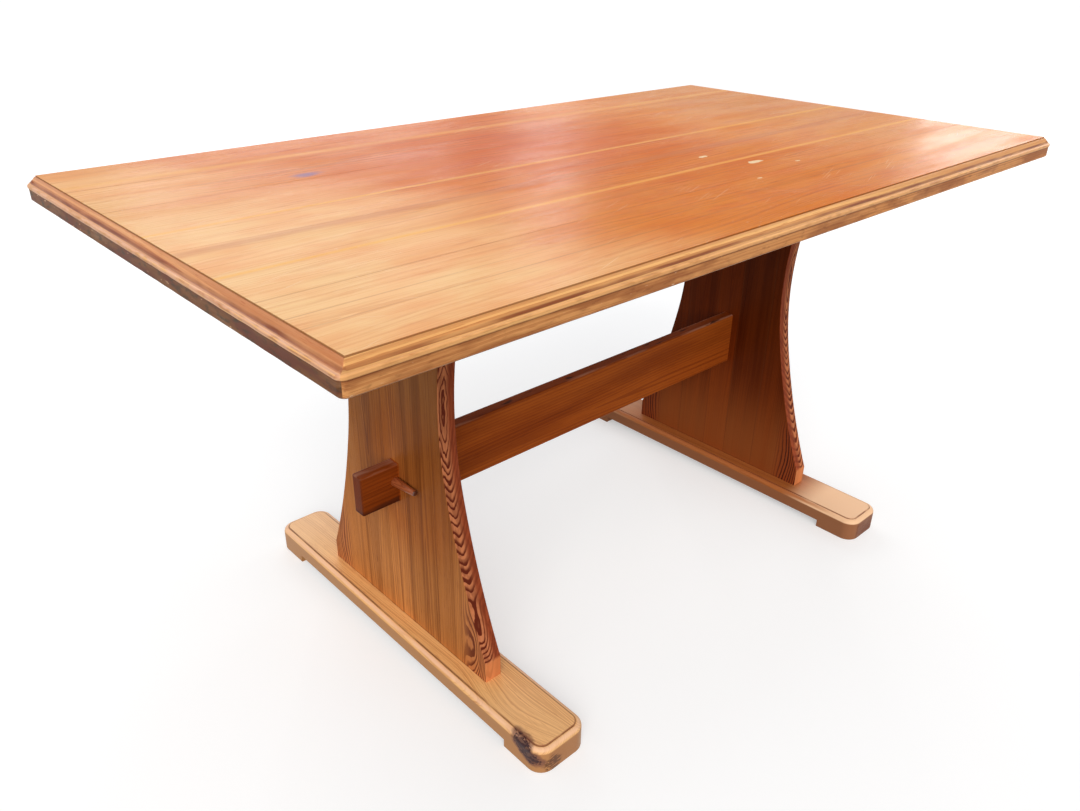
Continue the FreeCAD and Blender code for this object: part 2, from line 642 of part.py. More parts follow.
# The pegs: plain round dowels with rounded ends, each lying along its slab's outer face.
for side, sign in SIDES:
    peg = new_body(side + "_peg")
    outline = new_sketch(peg, "XY_Plane", "outline")
    draw_circle(outline, "0", "0", "Worked.peg_radius", "dowel")
    outline.setExpression("AttachmentOffset.Base.z", "-Worked.peg_inside")
    dowel = pad(peg, outline, "Sizes.peg_length", "dowel")
    round_edges(peg, dowel, "Sizes.peg_rounding", "ends", lambda box: box.ZLength < box.XLength)
    lean = FreeCAD.Rotation(X_AXIS, 90 - value("Sizes.peg_rise"))
    peg.Placement = FreeCAD.Placement(FreeCAD.Vector(), lean)
    place(peg, x=sign + "Worked.peg_offset", z="Worked.peg_level")
    kept.append(peg)

# Every object has to be sound before anything is written.
doc.recompute()
for item in doc.Objects:
    if "Invalid" in item.State or "Error" in item.State:
        raise RuntimeError("%s failed: %s" % (item.Name, item.State))
for item in kept:
    if item.Shape.isNull() or not item.Shape.isValid() or not item.Shape.Solids:
        raise RuntimeError("%s has no sound solid" % item.Label)

os.makedirs("parts", exist_ok=True)
for item in kept:
    item.Shape.exportStep(os.path.join("parts", item.Label + ".step"))
    box = item.Shape.BoundBox
    spans = (box.XMin, box.XMax, box.YMin, box.YMax, box.ZMin, box.ZMax)
    volume = item.Shape.Volume / 1000
    print("%-20s %d solids %8.1f cm3" % (item.Label, len(item.Shape.Solids), volume), end="")
    print("  x %.1f to %.1f, y %.1f to %.1f, z %.1f to %.1f" % spans)
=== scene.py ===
import json
import math

import bmesh
import bpy
import numpy as np
from mathutils import Matrix, Vector


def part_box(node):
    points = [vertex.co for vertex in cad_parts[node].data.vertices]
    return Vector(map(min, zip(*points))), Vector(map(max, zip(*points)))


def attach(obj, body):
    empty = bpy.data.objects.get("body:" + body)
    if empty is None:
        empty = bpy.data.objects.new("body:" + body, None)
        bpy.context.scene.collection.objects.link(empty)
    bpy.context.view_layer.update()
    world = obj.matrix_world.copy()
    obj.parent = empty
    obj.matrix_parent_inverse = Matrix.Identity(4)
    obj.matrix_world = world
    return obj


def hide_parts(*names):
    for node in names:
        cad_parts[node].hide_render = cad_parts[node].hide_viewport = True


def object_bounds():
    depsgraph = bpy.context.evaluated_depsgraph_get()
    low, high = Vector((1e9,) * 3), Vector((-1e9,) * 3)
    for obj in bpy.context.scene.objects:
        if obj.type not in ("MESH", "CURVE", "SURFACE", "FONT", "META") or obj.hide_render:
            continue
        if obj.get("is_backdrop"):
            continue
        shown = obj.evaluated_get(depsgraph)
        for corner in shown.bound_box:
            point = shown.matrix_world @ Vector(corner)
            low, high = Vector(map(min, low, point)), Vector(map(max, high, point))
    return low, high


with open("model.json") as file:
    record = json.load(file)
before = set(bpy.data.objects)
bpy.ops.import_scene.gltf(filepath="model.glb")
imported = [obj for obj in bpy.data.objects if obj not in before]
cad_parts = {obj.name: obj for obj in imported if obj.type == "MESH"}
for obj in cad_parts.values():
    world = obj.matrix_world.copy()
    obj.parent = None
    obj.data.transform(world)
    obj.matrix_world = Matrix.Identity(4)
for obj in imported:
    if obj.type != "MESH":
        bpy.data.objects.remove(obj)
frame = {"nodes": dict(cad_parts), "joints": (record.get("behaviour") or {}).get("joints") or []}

cad_low, cad_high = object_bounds()

# ---- Feet ----
# Each foot is one long pine board with its ends rounded in plan. A bead with a sunk quirk is
# worked round its top edge, and the underside is cut away so that it stands on its two ends.
MM = 0.001
FOOT_CORNER = 25 * MM
FOOT_ARRIS = 1.5 * MM
FOOT_RELIEF = 15 * MM
FOOT_PAD = 78 * MM
BEAD = 9 * MM
QUIRK = 1.2 * MM
QUIRK_SUNK = 0.7 * MM
CORNER_STEPS = 10
FIBRE_SHADE = (0.72, 0.68, 0.64)
CRISP_ANGLE = math.radians(22)


class Signal:
    """A socket of a material's nodes. Sums of signals and numbers add Math nodes."""

    def __init__(self, tree, socket=None):
        self.tree = tree
        self.socket = socket

    def node(self, kind, settings, inputs, output=0):
        """Add a node: first its settings, then the value or link of each input socket."""
        made = self.tree.nodes.new("ShaderNode" + kind)
        for name, setting in settings.items():
            setattr(made, name, setting)
        for name, content in inputs.items():
            if isinstance(content, Signal):
                self.tree.links.new(content.socket, made.inputs[name])
            else:
                made.inputs[name].default_value = content
        return Signal(self.tree, made.outputs[output])

    def maths(self, operation, first, second=0.0):
        return self.node("Math", {"operation": operation}, {0: first, 1: second})

    def __add__(self, other):
        return self.maths("ADD", self, other)

    __radd__ = __add__

    def __sub__(self, other):
        return self.maths("SUBTRACT", self, other)

    def __rsub__(self, other):
        return self.maths("SUBTRACT", other, self)

    def __mul__(self, other):
        return self.maths("MULTIPLY", self, other)

    __rmul__ = __mul__

    def __truediv__(self, other):
        return self.maths("DIVIDE", self, other)

    def __pow__(self, other):
        return self.maths("POWER", self, other)

    def __abs__(self):
        return self.maths("ABSOLUTE", self)


def rise(signal, low, high):
    """0 below low and 1 above high, with a smooth step between."""
    inputs = {"Value": signal, "From Min": low, "From Max": high}
    return signal.node("MapRange", {"interpolation_type": "SMOOTHSTEP"}, inputs)


def mix(factor, first, second, mode="MIX"):
    """Colour first turned into colour second by a factor that is a signal."""
    colours = [c if isinstance(c, Signal) else (*c, 1.0) for c in (first, second)]
    settings = {"data_type": "RGBA", "blend_type": mode}
    return factor.node("Mix", settings, {0: factor, 6: colours[0], 7: colours[1]}, 2)


def parts_of(place):
    """The X, Y and Z of a vector signal."""
    return [place.node("SeparateXYZ", {}, {0: place}, n) for n in range(3)]


def drawn_out(place, along, fine, long):
    """Coordinates for a noise with so many waves a metre across the grain and along it."""
    waves = [fine, fine, fine]
    waves[along] = long
    return place.node("VectorMath", {"operation": "MULTIPLY"}, {0: place, 1: waves})


def noise(place, detail=2.0, output=0):
    """Soft noise: output 0 is a number that lies about a half, and output 1 is a colour."""
    inputs = {"Vector": place, "Scale": 1.0, "Detail": detail}
    return place.node("TexNoise", {}, inputs, output)


def blob(place, centre, reach):
    """1 at a centre, falling smoothly to 0 at an ellipsoid with these half lengths."""
    inputs = {"Vector": place, "Location": centre, "Scale": reach}
    local = place.node("Mapping", {"vector_type": "TEXTURE"}, inputs)
    distance = place.node("VectorMath", {"operation": "LENGTH"}, {0: local}, 1)
    return 1 - rise(distance, 0.0, 1.0)


def pine(name, along, through, heart, lean, ring, bend, pale, dark, warm, hollow=1.5 * MM,
         wander=3 * MM, uneven=1.4, early=0.25, contrast=0.8, rough=0.42, gloss=0.1,
         growth=None, swell=None, marks=None):
    """Waxed pine cut out of solid growth rings, so that each face shows its own true figure.

    The rings lie across the through axis and bend up to both sides of the heart as a
    hyperbola, like the rings of a log. Their depth, divided by the ring spacing or turned by a
    growth formula, climbs by one from ring to ring. Within each ring the pale early wood ends
    at the phase early, and darkens slowly to the late wood, which then stops short.
    """
    material = bpy.data.materials.new(name)
    material.use_nodes = True
    shader = material.node_tree.nodes["Principled BSDF"]
    start = Signal(material.node_tree)
    place = start.node("TexCoord", {}, {}, "Object")
    turned = {"Vector": place, "Location": heart, "Rotation": lean}
    local = place.node("Mapping", {"vector_type": "TEXTURE"}, turned)

    drift = noise(drawn_out(local, along, 16, 2.4), 1.0, 1)
    ragged = noise(drawn_out(local, along, 260, 16), 1.0, 1)
    for wave, size in ((drift, wander), (ragged, 0.35 * MM)):
        settings = {"operation": "MULTIPLY_ADD"}
        inputs = {0: wave, 1: [2 * size] * 3, 2: [-size] * 3}
        offset = place.node("VectorMath", settings, inputs)
        local = place.node("VectorMath", {"operation": "ADD"}, {0: local, 1: offset})
    axes = parts_of(local)
    across = axes[3 - along - through]
    side = ((across * bend) ** 2 + hollow ** 2) ** 0.5
    depth = axes[through] + side
    if swell:
        depth = depth + swell(place)
    turns = growth(depth) if growth else depth / ring
    line = {"noise_dimensions": "1D"}
    spacing = turns.node("TexNoise", line, {"W": turns * 0.31, "Detail": 1.0})
    turns = turns + spacing * uneven
    phase = turns.maths("FRACT", turns)
    year = turns.node("TexWhiteNoise", line, {"W": turns.maths("FLOOR", turns)})
    faint = min(uneven / 1.4, 1.0) * 0.6
    late = rise(phase, early, 0.88) * (1 - rise(phase, 0.93, 1.0)) * (1 - faint + year * faint)

    fibre = noise(drawn_out(place, along, 1500, 26), 3.0)
    pores = rise(noise(drawn_out(place, along, 900, 40), 1.0), 0.62, 0.75)
    patch = rise(noise(drawn_out(place, along, 19, 3.5), 3.0), 0.35, 0.7)
    colour = mix(late * contrast, pale, dark)
    colour = mix(patch * 0.55, colour, warm, "MULTIPLY")
    colour = mix(fibre, colour, mix(fibre, colour, FIBRE_SHADE, "MULTIPLY"))
    colour = mix(pores * 0.5, colour, dark)
    roughness = rough + patch * 0.07 + fibre * 0.1 - late * 0.05
    if marks:
        colour, roughness = marks(place, colour, roughness, late)
    tree = material.node_tree
    tree.links.new(colour.socket, shader.inputs["Base Color"])
    tree.links.new(roughness.socket, shader.inputs["Roughness"])
    shader.inputs["Specular IOR Level"].default_value = gloss
    height = late * 0.6 + fibre * 0.5 - pores * 0.4
    relief = {"Height": height, "Strength": 0.35, "Distance": 0.25 * MM}
    tree.links.new(start.node("Bump", {}, relief).socket, shader.inputs["Normal"])
    return material


def skin(name, points, faces, material, body, traits=None):
    """A closed piece. Points that coincide are merged, faces turn outwards and sharp edges stay
    crisp. Each trait is a number per point that the material can read."""
    mesh = bpy.data.meshes.new(name)
    mesh.from_pydata(np.reshape(points, (-1, 3)).tolist(), [], faces)
    for trait, numbers in (traits or {}).items():
        mesh.attributes.new(trait, "FLOAT", "POINT").data.foreach_set("value", np.ravel(numbers))
    shape = bmesh.new()
    shape.from_mesh(mesh)
    bmesh.ops.remove_doubles(shape, verts=shape.verts, dist=0.001 * MM)
    bmesh.ops.recalc_face_normals(shape, faces=shape.faces)
    shape.to_mesh(mesh)
    shape.free()
    mesh.materials.append(material)
    mesh.shade_smooth()
    mesh.set_sharp_from_angle(angle=CRISP_ANGLE)
    piece = bpy.data.objects.new(name, mesh)
    bpy.context.scene.collection.objects.link(piece)
    piece.modifiers.new("even shading", "WEIGHTED_NORMAL").keep_sharp = True
    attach(piece, body)
    return piece


def foot_rings(low, high):
    """Rings up the foot. Each is its plan drawn in by an inset: quarter circles about four fixed
    corner centres, whose radius is the corner's less the inset. The right half runs from front
    to back, and the left half mirrors it."""
    middle = (low + high) / 2
    half = (high - low) / 2
    turn = np.linspace(0, math.pi / 2, 6)
    round_turn = np.linspace(0, math.pi / 2, 12)
    spring = high[2] - QUIRK - BEAD
    inset = np.concatenate([
        FOOT_ARRIS * (1 - np.sin(turn)),
        [0],
        BEAD * (1 - np.cos(round_turn)),
        BEAD + QUIRK_SUNK * np.array([0.4, 0.9, 1.1, 1.7]),
        [BEAD + 4 * MM],
    ])
    level = np.concatenate([
        FOOT_ARRIS * (1 - np.cos(turn)),
        [FOOT_RELIEF],
        spring + BEAD * np.sin(round_turn),
        high[2] - np.array([QUIRK + QUIRK_SUNK, QUIRK + QUIRK_SUNK, 0.5 * MM, 0, 0]),
    ])
    corner = np.linspace(-math.pi / 2, 0, CORNER_STEPS)
    radius = (FOOT_CORNER - inset)[:, None]
    centre = half[:2] - FOOT_CORNER
    pad_edge = half[1] - FOOT_PAD
    side = (half[0] - inset)[:, None] * np.ones(2)
    right_x = np.hstack([
        centre[0] + radius * np.cos(corner), side, centre[0] + radius * np.cos(corner[::-1]),
    ])
    right_y = np.hstack([
        -centre[1] + radius * np.sin(corner),
        np.tile([-pad_edge, pad_edge], (len(inset), 1)),
        centre[1] - radius * np.sin(corner[::-1]),
    ])
    x = np.hstack([right_x, -right_x[:, ::-1]]) + middle[0]
    y = np.hstack([right_y, right_y[:, ::-1]]) + middle[1]
    z = np.tile(level[:, None], x.shape[1])
    return np.stack([x, y, z], axis=-1), np.tile(inset[:, None], x.shape[1]), len(turn)


def bands_of(rings):
    """The number of each point of the rings, and four-sided faces from each ring to the next."""
    index = np.arange(rings.shape[0] * rings.shape[1]).reshape(rings.shape[:2])
    following = np.roll(index, -1, axis=1)
    return index, np.stack([index[:-1], following[:-1], following[1:], index[1:]], axis=-1)


def foot_faces(rings, relief):
    """Bands between the rings, with ladders of faces that join the right half to its mirror
    image under the pads, up their inner walls, over the relief and across the top."""
    index, bands = bands_of(rings)
    around = index.shape[1]
    front, back = CORNER_STEPS, CORNER_STEPS + 1
    open_side = np.zeros(around, bool)
    open_side[[front, around - 1 - back]] = True
    faces = bands[:relief][:, ~open_side].reshape(-1, 4).tolist()
    faces += bands[relief:].reshape(-1, 4).tolist()
    mirror = index[:, ::-1]
    for n in range(around // 2 - 1):
        if n != front:
            faces.append([index[0, n], index[0, n + 1], mirror[0, n + 1], mirror[0, n]])
        faces.append([index[-1, n], index[-1, n + 1], mirror[-1, n + 1], mirror[-1, n]])
    for n in (front, back):
        for level in range(relief):
            upper = level + 1
            faces.append([index[level, n], index[upper, n], mirror[upper, n], mirror[level, n]])
    roof = [index[relief, n] for n in (front, back)] + [mirror[relief, n] for n in (back, front)]
    faces.append(roof)
    return [[int(n) for n in face] for face in faces]


# The right foot's tints are a darker copy of the left's: painted shade where it stands under the
# table.
FOOT_TINTS_RIGHT_SHADED = {
    "left": ((0.98, 0.56, 0.22), (0.50, 0.15, 0.03)),
    "right": ((0.46, 0.145, 0.035), (0.22, 0.050, 0.011)),
}
FOOT_SIDES_DUST_AND_SHADE = {"left": (0.49, 0.223, 0.081), "right": (0.31, 0.115, 0.048)}
FOOT_ENDS = {"left": (0.42, 0.17, 0.06), "right": (0.17, 0.045, 0.015)}
# Painted highlight colours for the rounded bead of each foot.
FOOT_BEAD_HIGHLIGHTS = {"left": (0.93, 0.56, 0.36), "right": (0.46, 0.145, 0.045)}
FOOT_WARM = (0.96, 0.88, 0.80)
# Pale for worn foot ends, and for the painted light and sheen on them.
FOOT_WEAR_AND_LIGHT = (0.98, 0.62, 0.37)
FOOT_QUIRK_SHADE = (0.24, 0.065, 0.025)
FOOT_END = 371 * MM
KNOT_DARK = (0.040, 0.014, 0.016)
KNOT_RIM = (0.17, 0.06, 0.045)
KNOT_REACH = (24 * MM, 36 * MM, 15 * MM)
KNOT_TILT = 0.42
DIRT = (0.12, 0.040, 0.014)
left_foot_low = np.array(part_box("left_foot")[0])
KNOT = (left_foot_low[0] + 2 * MM, left_foot_low[1] + 31 * MM, 30 * MM)
BRUISE = (-436 * MM, left_foot_low[1] + 6 * MM, 20 * MM)
BRUISE_REACH = (22 * MM, 16 * MM, 24 * MM)


def round_the_knot(place):
    """Rings bulge inwards past the knot at the left foot's front corner."""
    bulge = blob(place, (KNOT[0], KNOT[1] + 56 * MM, 40 * MM), (86 * MM, 150 * MM, 70 * MM))
    return bulge * (-24 * MM)


def foot_marks(place, colour, rough, side, front_wear_and_light):
    """Both ends are painted pale: the back one as wear and a painted sheen, the front one by its
    own share of wear and painted light. The bead carries a painted highlight, the quirk is
    painted dark as shade, and the sides are dull with dust, with painted shade on the right foot."""
    y, z = parts_of(place)[1:]
    inset = place.node("Attribute", {"attribute_name": "inset"}, {}, "Fac")
    patch = rise(noise(drawn_out(place, 1, 45, 12), 3.0), 0.30, 0.55)
    # Painted sheen: the back end of each foot is painted paler.
    colour = mix(rise(y, 0.16, 0.36) * 0.45, colour, FOOT_WEAR_AND_LIGHT)
    # Front end painted pale, as wear and painted light.
    colour = mix(rise(0 - y, 0.20, 0.28) * front_wear_and_light, colour, FOOT_WEAR_AND_LIGHT)
    quirk = rise(inset, 7.6 * MM, 8.8 * MM) * (1 - rise(inset, 9.8 * MM, 11.6 * MM))
    bead = rise(inset, 0.6 * MM, 3 * MM) * (1 - rise(inset, 6.5 * MM, 8 * MM))
    middle = 1 - rise(0 - y, 0.26, 0.34) * front_wear_and_light
    # Painted highlight along the rounded bead.
    colour = mix(bead * (0.3 + patch * 0.5) * middle, colour, FOOT_BEAD_HIGHLIGHTS[side])
    # Painted shade in the sunk quirk.
    colour = mix(quirk * (0.35 + patch * 0.45), colour, FOOT_QUIRK_SHADE)
    sides = (1 - rise(inset, 0.2 * MM, 1.5 * MM)) * (1 - rise(z, 36 * MM, 38 * MM))
    # Dusty sides; the right foot's darker side colour is painted shade.
    colour = mix(sides * 0.95, colour, FOOT_SIDES_DUST_AND_SHADE[side])
    ends = rise(abs(y), FOOT_END, FOOT_END + 1.4 * MM) * (1 - rise(z, 34 * MM, 37 * MM))
    dirty = rise(noise(drawn_out(place, 0, 60, 22), 3.0), 0.36, 0.60)
    colour = mix(ends * (0.55 + dirty * 0.3), colour, FOOT_ENDS[side])
    return colour, rough


def left_foot_marks(place, colour, rough, late):
    """The dead knot in the front corner, with its rim, and a scratched bruise on the end."""
    colour, rough = foot_marks(place, colour, rough, "left", 0.2)
    warped = place.node("VectorMath", {"operation": "ADD"}, {
        0: place,
        1: place.node("VectorMath", {"operation": "SCALE"}, {
            0: noise(drawn_out(place, 1, 90, 60), 3.0, 1), "Scale": 14 * MM,
        }),
    })
    turned = {
        "Vector": warped, "Location": [c + 7 * MM for c in KNOT],
        "Rotation": (KNOT_TILT, 0, 0), "Scale": KNOT_REACH,
    }
    local = place.node("Mapping", {"vector_type": "TEXTURE"}, turned)
    distance = place.node("VectorMath", {"operation": "LENGTH"}, {0: local}, 1)
    crumbled = distance + (noise(drawn_out(place, 1, 420, 260), 3.0) - 0.5) * 0.9
    fibres = rise(noise(drawn_out(warped, 1, 300, 60), 2.0), 0.46, 0.56)
    colour = mix((1 - rise(distance, 0.85, 1.15)) * 0.75, colour, KNOT_RIM)
    colour = mix((1 - rise(crumbled, 0.70, 0.82)) * (1 - fibres * 0.35), colour, KNOT_DARK)
    bruise = blob(warped, BRUISE, BRUISE_REACH)
    scratches = rise(noise(drawn_out(place, 0, 320, 90), 3.0), 0.42, 0.52)
    colour = mix(rise(bruise, 0.1, 0.45) * scratches * 0.9, colour, DIRT)
    return colour, rough


def right_foot_marks(place, colour, rough, late):
    """The right foot has no knot; its front end is painted pale, as wear and painted light."""
    return foot_marks(place, colour, rough, "right", 0.95)


for side, marks in (("left", left_foot_marks), ("right", right_foot_marks)):
    low, high = [np.array(corner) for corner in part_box(side + "_foot")]
    heart_x = (low[0] + high[0]) / 2 + 18 * MM
    wood = pine(
        side + " foot pine", along=1, through=2, heart=(heart_x, 0.1, 0.0), lean=(0.012, 0, 0.02),
        ring=3.6 * MM, bend=0.9, pale=FOOT_TINTS_RIGHT_SHADED[side][0], dark=FOOT_TINTS_RIGHT_SHADED[side][1],
        warm=FOOT_WARM, contrast=0.6, rough=0.36,
        gloss=0.25 if side == "left" else 0.12,
        swell=round_the_knot if side == "left" else None, marks=marks,
    )
    rings, inset, relief = foot_rings(low, high)
    faces = foot_faces(rings, relief)
    foot = skin(side + "_foot_board", rings, faces, wood, "table", {"inset": inset})
    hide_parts(side + "_foot")


# ---- Slabs ----
# Each slab is five pine staves glued edge to edge, sawn to a waisted outline and stood in its
# foot. The outer staves carry the curved edges, whose cut rings show as nested chevrons.
WAIST_HALF = 119 * MM
WAIST_HEIGHT = 465 * MM
WAIST_RADIUS = 620 * MM
WAIST_DROP = 130 * MM
TOE_TOP = 80 * MM
SLAB_ARRIS = 1.3 * MM
# The right slab's tints are a darker copy of the left's: painted shade under the table.
SLAB_TINTS_RIGHT_SHADED = {
    "left": ((0.73, 0.282, 0.078), (0.27, 0.065, 0.015), (0.86, 0.76, 0.64)),
    "right": ((0.27, 0.048, 0.006), (0.11, 0.013, 0.002), (0.85, 0.70, 0.60)),
}
STAVE_SHADES = (0.88, 0.84, 1.02, 0.94, 1.0)
EDGE_PALE = (0.58, 0.195, 0.080)
EDGE_RED = (0.28, 0.045, 0.014)
EDGE_DARK = (0.12, 0.018, 0.007)
SHORE_DARK = (0.035, 0.006, 0.004)
TOE_RUB_AND_GLINT = (0.72, 0.25, 0.085)
# Dark glue lines at the stave joints, also used for the painted contact shadow at the foot.
GLUE_LINE_AND_SHADE = (0.13, 0.035, 0.010)
STAVE_JOINTS = (28 * MM, 100 * MM)
STRIPE_SHADE = (0.52, 0.44, 0.38)
STREAK_SHADE = (0.50, 0.40, 0.34)
RIGHT_SLAB_LESS_SHADED = (0.34, 0.092, 0.022)
SHADE_UNDER_TOP = (0.58, 0.55, 0.46)
TENON_GLOW = (0.96, 0.80, 0.62)
FOOT_LINE = 45.5 * MM
TOE_KNOT = (192 * MM, 96 * MM)
TOE_KNOT_REACH = (44 * MM, 36 * MM, 100 * MM)
WIDE_ARCH = 27 * MM
USUAL_ARCH = 11 * MM


def slab_half(level, base_half):
    """Half width of a slab at each level: upright at the toe, then an arc that meets the waist's
    arc without a kink. Its radius is the one that also ends it on the toe."""
    reach = WAIST_HALF + WAIST_RADIUS
    slope = math.asin(WAIST_DROP / WAIST_RADIUS)
    join = WAIST_HEIGHT - WAIST_DROP
    join_half = reach - WAIST_RADIUS * math.cos(slope)
    out, down = base_half - join_half, join - TOE_TOP
    radius = (out ** 2 + down ** 2) / (2 * (out * math.cos(slope) - down * math.sin(slope)))
    centre_out = join_half + radius * math.cos(slope)
    centre_up = join + radius * math.sin(slope)
    upper = reach - np.sqrt(WAIST_RADIUS ** 2 - (level - WAIST_HEIGHT) ** 2)
    lower = centre_out - np.sqrt(radius ** 2 - (np.minimum(level, join) - centre_up) ** 2)
    return np.where(level < TOE_TOP, base_half, np.where(level < join, lower, upper))


def stave_rings(low, high, outwards):
    """Level sections of an outer stave: square at the glued joint, and a quarter circle at each
    of the two outer arrises."""
    level = np.concatenate([[low[2]], np.linspace(TOE_TOP, high[2], 90)])
    base_half = max(abs(low[1]), abs(high[1]))
    joint = min(abs(low[1]), abs(high[1]))
    half = slab_half(level, base_half)[:, None]
    middle, thick = (low[0] + high[0]) / 2, (high[0] - low[0]) / 2
    turn = np.linspace(0, math.pi / 2, 7)
    x = np.concatenate([
        [-thick], -thick + SLAB_ARRIS * (1 - np.cos(turn)),
        thick - SLAB_ARRIS * (1 - np.cos(turn[::-1])), [thick],
    ])
    drawn_in = SLAB_ARRIS * (1 - np.sin(turn))
    arris = np.concatenate([drawn_in, drawn_in[::-1]])
    y = np.hstack([np.full_like(half, joint), half - arris, np.full_like(half, joint)])
    z = np.tile(level[:, None], y.shape[1])
    return np.stack([np.tile(x + middle, (len(level), 1)), outwards * y, z], axis=-1)


def closed_faces(rings):
    """The bands between the rings, and one flat face at each end."""
    index, bands = bands_of(rings)
    return bands.reshape(-1, 4).tolist() + [index[0][::-1].tolist(), index[-1].tolist()]


def slab_marks(place, colour, rough, late):
    """Uneven stain in broad upright stripes, with painted shade that darkens the slabs towards
    the top, under the table top, and redder round the left tenon. The right slab is painted
    lighter brown towards its foot, where its painted shade eases off. Dark lines show where the
    staves meet each other, and a painted contact shadow where they meet the foot."""
    x, y, z = parts_of(place)
    stripe = noise(drawn_out(place, 2, 48, 0.8), 2.0)
    colour = mix(rise(stripe, 0.46, 0.62) * 0.5, colour, STRIPE_SHADE, "MULTIPLY")
    streaks = rise(noise(drawn_out(place, 2, 210, 2.2), 2.0), 0.54, 0.70)
    colour = mix(streaks * 0.4, colour, STREAK_SHADE, "MULTIPLY")
    # Painted light: the right slab's painted shade eases off towards its foot.
    brown = rise(x, 0.1, 0.2) * (1 - rise(z, 0.08, 0.27))
    colour = mix(brown * (0.3 + stripe * 0.5), colour, RIGHT_SLAB_LESS_SHADED)
    # Painted shade from the table top: the slabs darken towards the top.
    colour = mix(rise(z, 0.12, 0.42) * 0.9, colour, SHADE_UNDER_TOP, "MULTIPLY")
    around = blob(place, (-0.435, -0.04, 0.33), (0.05, 0.20, 0.20))
    colour = mix(rise(around, 0, 0.6) * 0.9, colour, TENON_GLOW, "MULTIPLY")
    for joint in STAVE_JOINTS:
        seam = 1 - rise(abs(abs(y) - joint), 0.3 * MM, 0.9 * MM)
        colour = mix(seam * 0.6, colour, GLUE_LINE_AND_SHADE)
    # Painted contact shadow where the slab stands in its foot.
    colour = mix((1 - rise(z, FOOT_LINE, FOOT_LINE + 2 * MM)) * 0.6, colour, GLUE_LINE_AND_SHADE)
    return colour, rough


def arch_the_toe(place, knot_x, arch):
    """Rings ripple, and arch by this much over a grown-in knot by the toe."""
    x, y, z = parts_of(place)
    ripple = (noise(drawn_out(place, 2, 95, 42), 2.0) - 0.5) * (2.6 * MM)
    folded = place.node("CombineXYZ", {}, {"X": x, "Y": abs(y), "Z": z})
    return ripple - blob(folded, (knot_x, *TOE_KNOT), TOE_KNOT_REACH) * arch


def widening_rings(depth):
    """Rings that widen with the square root of their depth, as the tree slowed down."""
    return abs(depth / MM + 4.8) ** 0.5 * 3.1 - 0.3


def edge_marks(apex, outer_face):
    """Marks for an outer stave whose chevrons point down a line at this X, and whose edge is
    redder and plainer on the side that faces the middle of the table. The same rings show along
    the shore of its face, and the toe is painted brighter orange, as rubbed wood with a painted
    glint of light."""

    def marks(place, colour, rough, late):
        colour, rough = slab_marks(place, colour, rough, late)
        facing = parts_of(place.node("TexCoord", {}, {}, "Normal"))[1]
        sawn = rise(abs(facing), 0.35, 0.7)
        x, y, z = parts_of(place)
        shore = rise(abs(y), 0.148, 0.185) * (1 - rise(z, 0.15, 0.20))
        left = outer_face < 0
        colour = mix(shore * 0.5, colour, EDGE_PALE if left else EDGE_RED)
        line = shore * rise(late, 0.15, 0.7)
        colour = mix(line * 0.9, colour, EDGE_DARK if left else SHORE_DARK)
        aside = rise((x - apex) * -outer_face, 2 * MM, 12 * MM)
        base = mix(aside * 0.85, EDGE_PALE, EDGE_RED)
        face = mix(rise(late, 0.0, 0.75) * (1 - aside * 0.6), base, EDGE_DARK)
        grime = rise(noise(drawn_out(place, 2, 150, 14), 3.0), 0.42, 0.66)
        face = mix(grime * 0.45, face, EDGE_DARK)
        toe = 1 - rise(z, TOE_TOP - 2 * MM, TOE_TOP + 4 * MM)
        # Painted glint and rub: the toe is painted brighter orange.
        face = mix(toe * 0.75, face, TOE_RUB_AND_GLINT)
        return mix(sawn, colour, face), rough + sawn * 0.05

    return marks


def refinish(piece, material):
    """Give a piece that keeps its own solid this one material."""
    piece.data.materials.clear()
    piece.data.materials.append(material)


for side in ("left", "right"):
    outer_face = -1 if side == "left" else 1
    for number in range(1, 6):
        node = "%s_stave_%d" % (side, number)
        low, high = [np.array(corner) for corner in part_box(node)]
        middle = (low + high) / 2
        slab_pale, slab_dark, slab_warm = [
            tuple(c * STAVE_SHADES[number - 1] for c in tint) for tint in SLAB_TINTS_RIGHT_SHADED[side]
        ]
        if number in (1, 5):
            knot_x = low[0]
            arch = WIDE_ARCH if node == "left_stave_1" else USUAL_ARCH
            outwards = -1 if number == 1 else 1
            apex = middle[0] + outer_face * 5 * MM
            rings_heart = (apex, outwards * WAIST_HALF, WAIST_HEIGHT)
            mirror = 0 if outwards > 0 else math.pi
            wood = pine(
                node.replace("_", " ") + " pine", along=2, through=1, heart=rings_heart,
                lean=(-0.02, 0, mirror), ring=4 * MM, bend=0.42, hollow=1.2 * MM,
                wander=1.1 * MM, uneven=0.5, growth=widening_rings, pale=slab_pale,
                dark=slab_dark, warm=slab_warm, contrast=0.45, gloss=0.06,
                swell=lambda place: arch_the_toe(place, knot_x, arch),
                marks=edge_marks(apex, outer_face),
            )
            rings = stave_rings(low, high, outwards)
            stave = skin(node + "_sawn", rings, closed_faces(rings), wood, "table")
            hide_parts(node)
        else:
            wood = pine(
                node.replace("_", " ") + " pine", along=2, through=0,
                heart=(middle[0] + outer_face * 60 * MM, middle[1] + (number - 3) * 9 * MM, 0.3),
                lean=(0.01, 0.018 * (number - 2.5), 0), ring=3.0 * MM, bend=0.5,
                wander=3 * MM, early=0.4, pale=slab_pale, dark=slab_dark, warm=slab_warm,
                contrast=0.55, gloss=0.06, marks=slab_marks,
            )
            stave = frame["nodes"][node]
            refinish(stave, wood)


# ---- Stretcher ----
# One pine rail on edge joins the slabs. Its shouldered tenons pass right through them, and
# feet have rubbed the arrises of its dark top pale.
RAIL_PALE = (0.44, 0.098, 0.012)
RAIL_DARK = (0.19, 0.030, 0.004)
RAIL_WARM = (0.85, 0.70, 0.60)
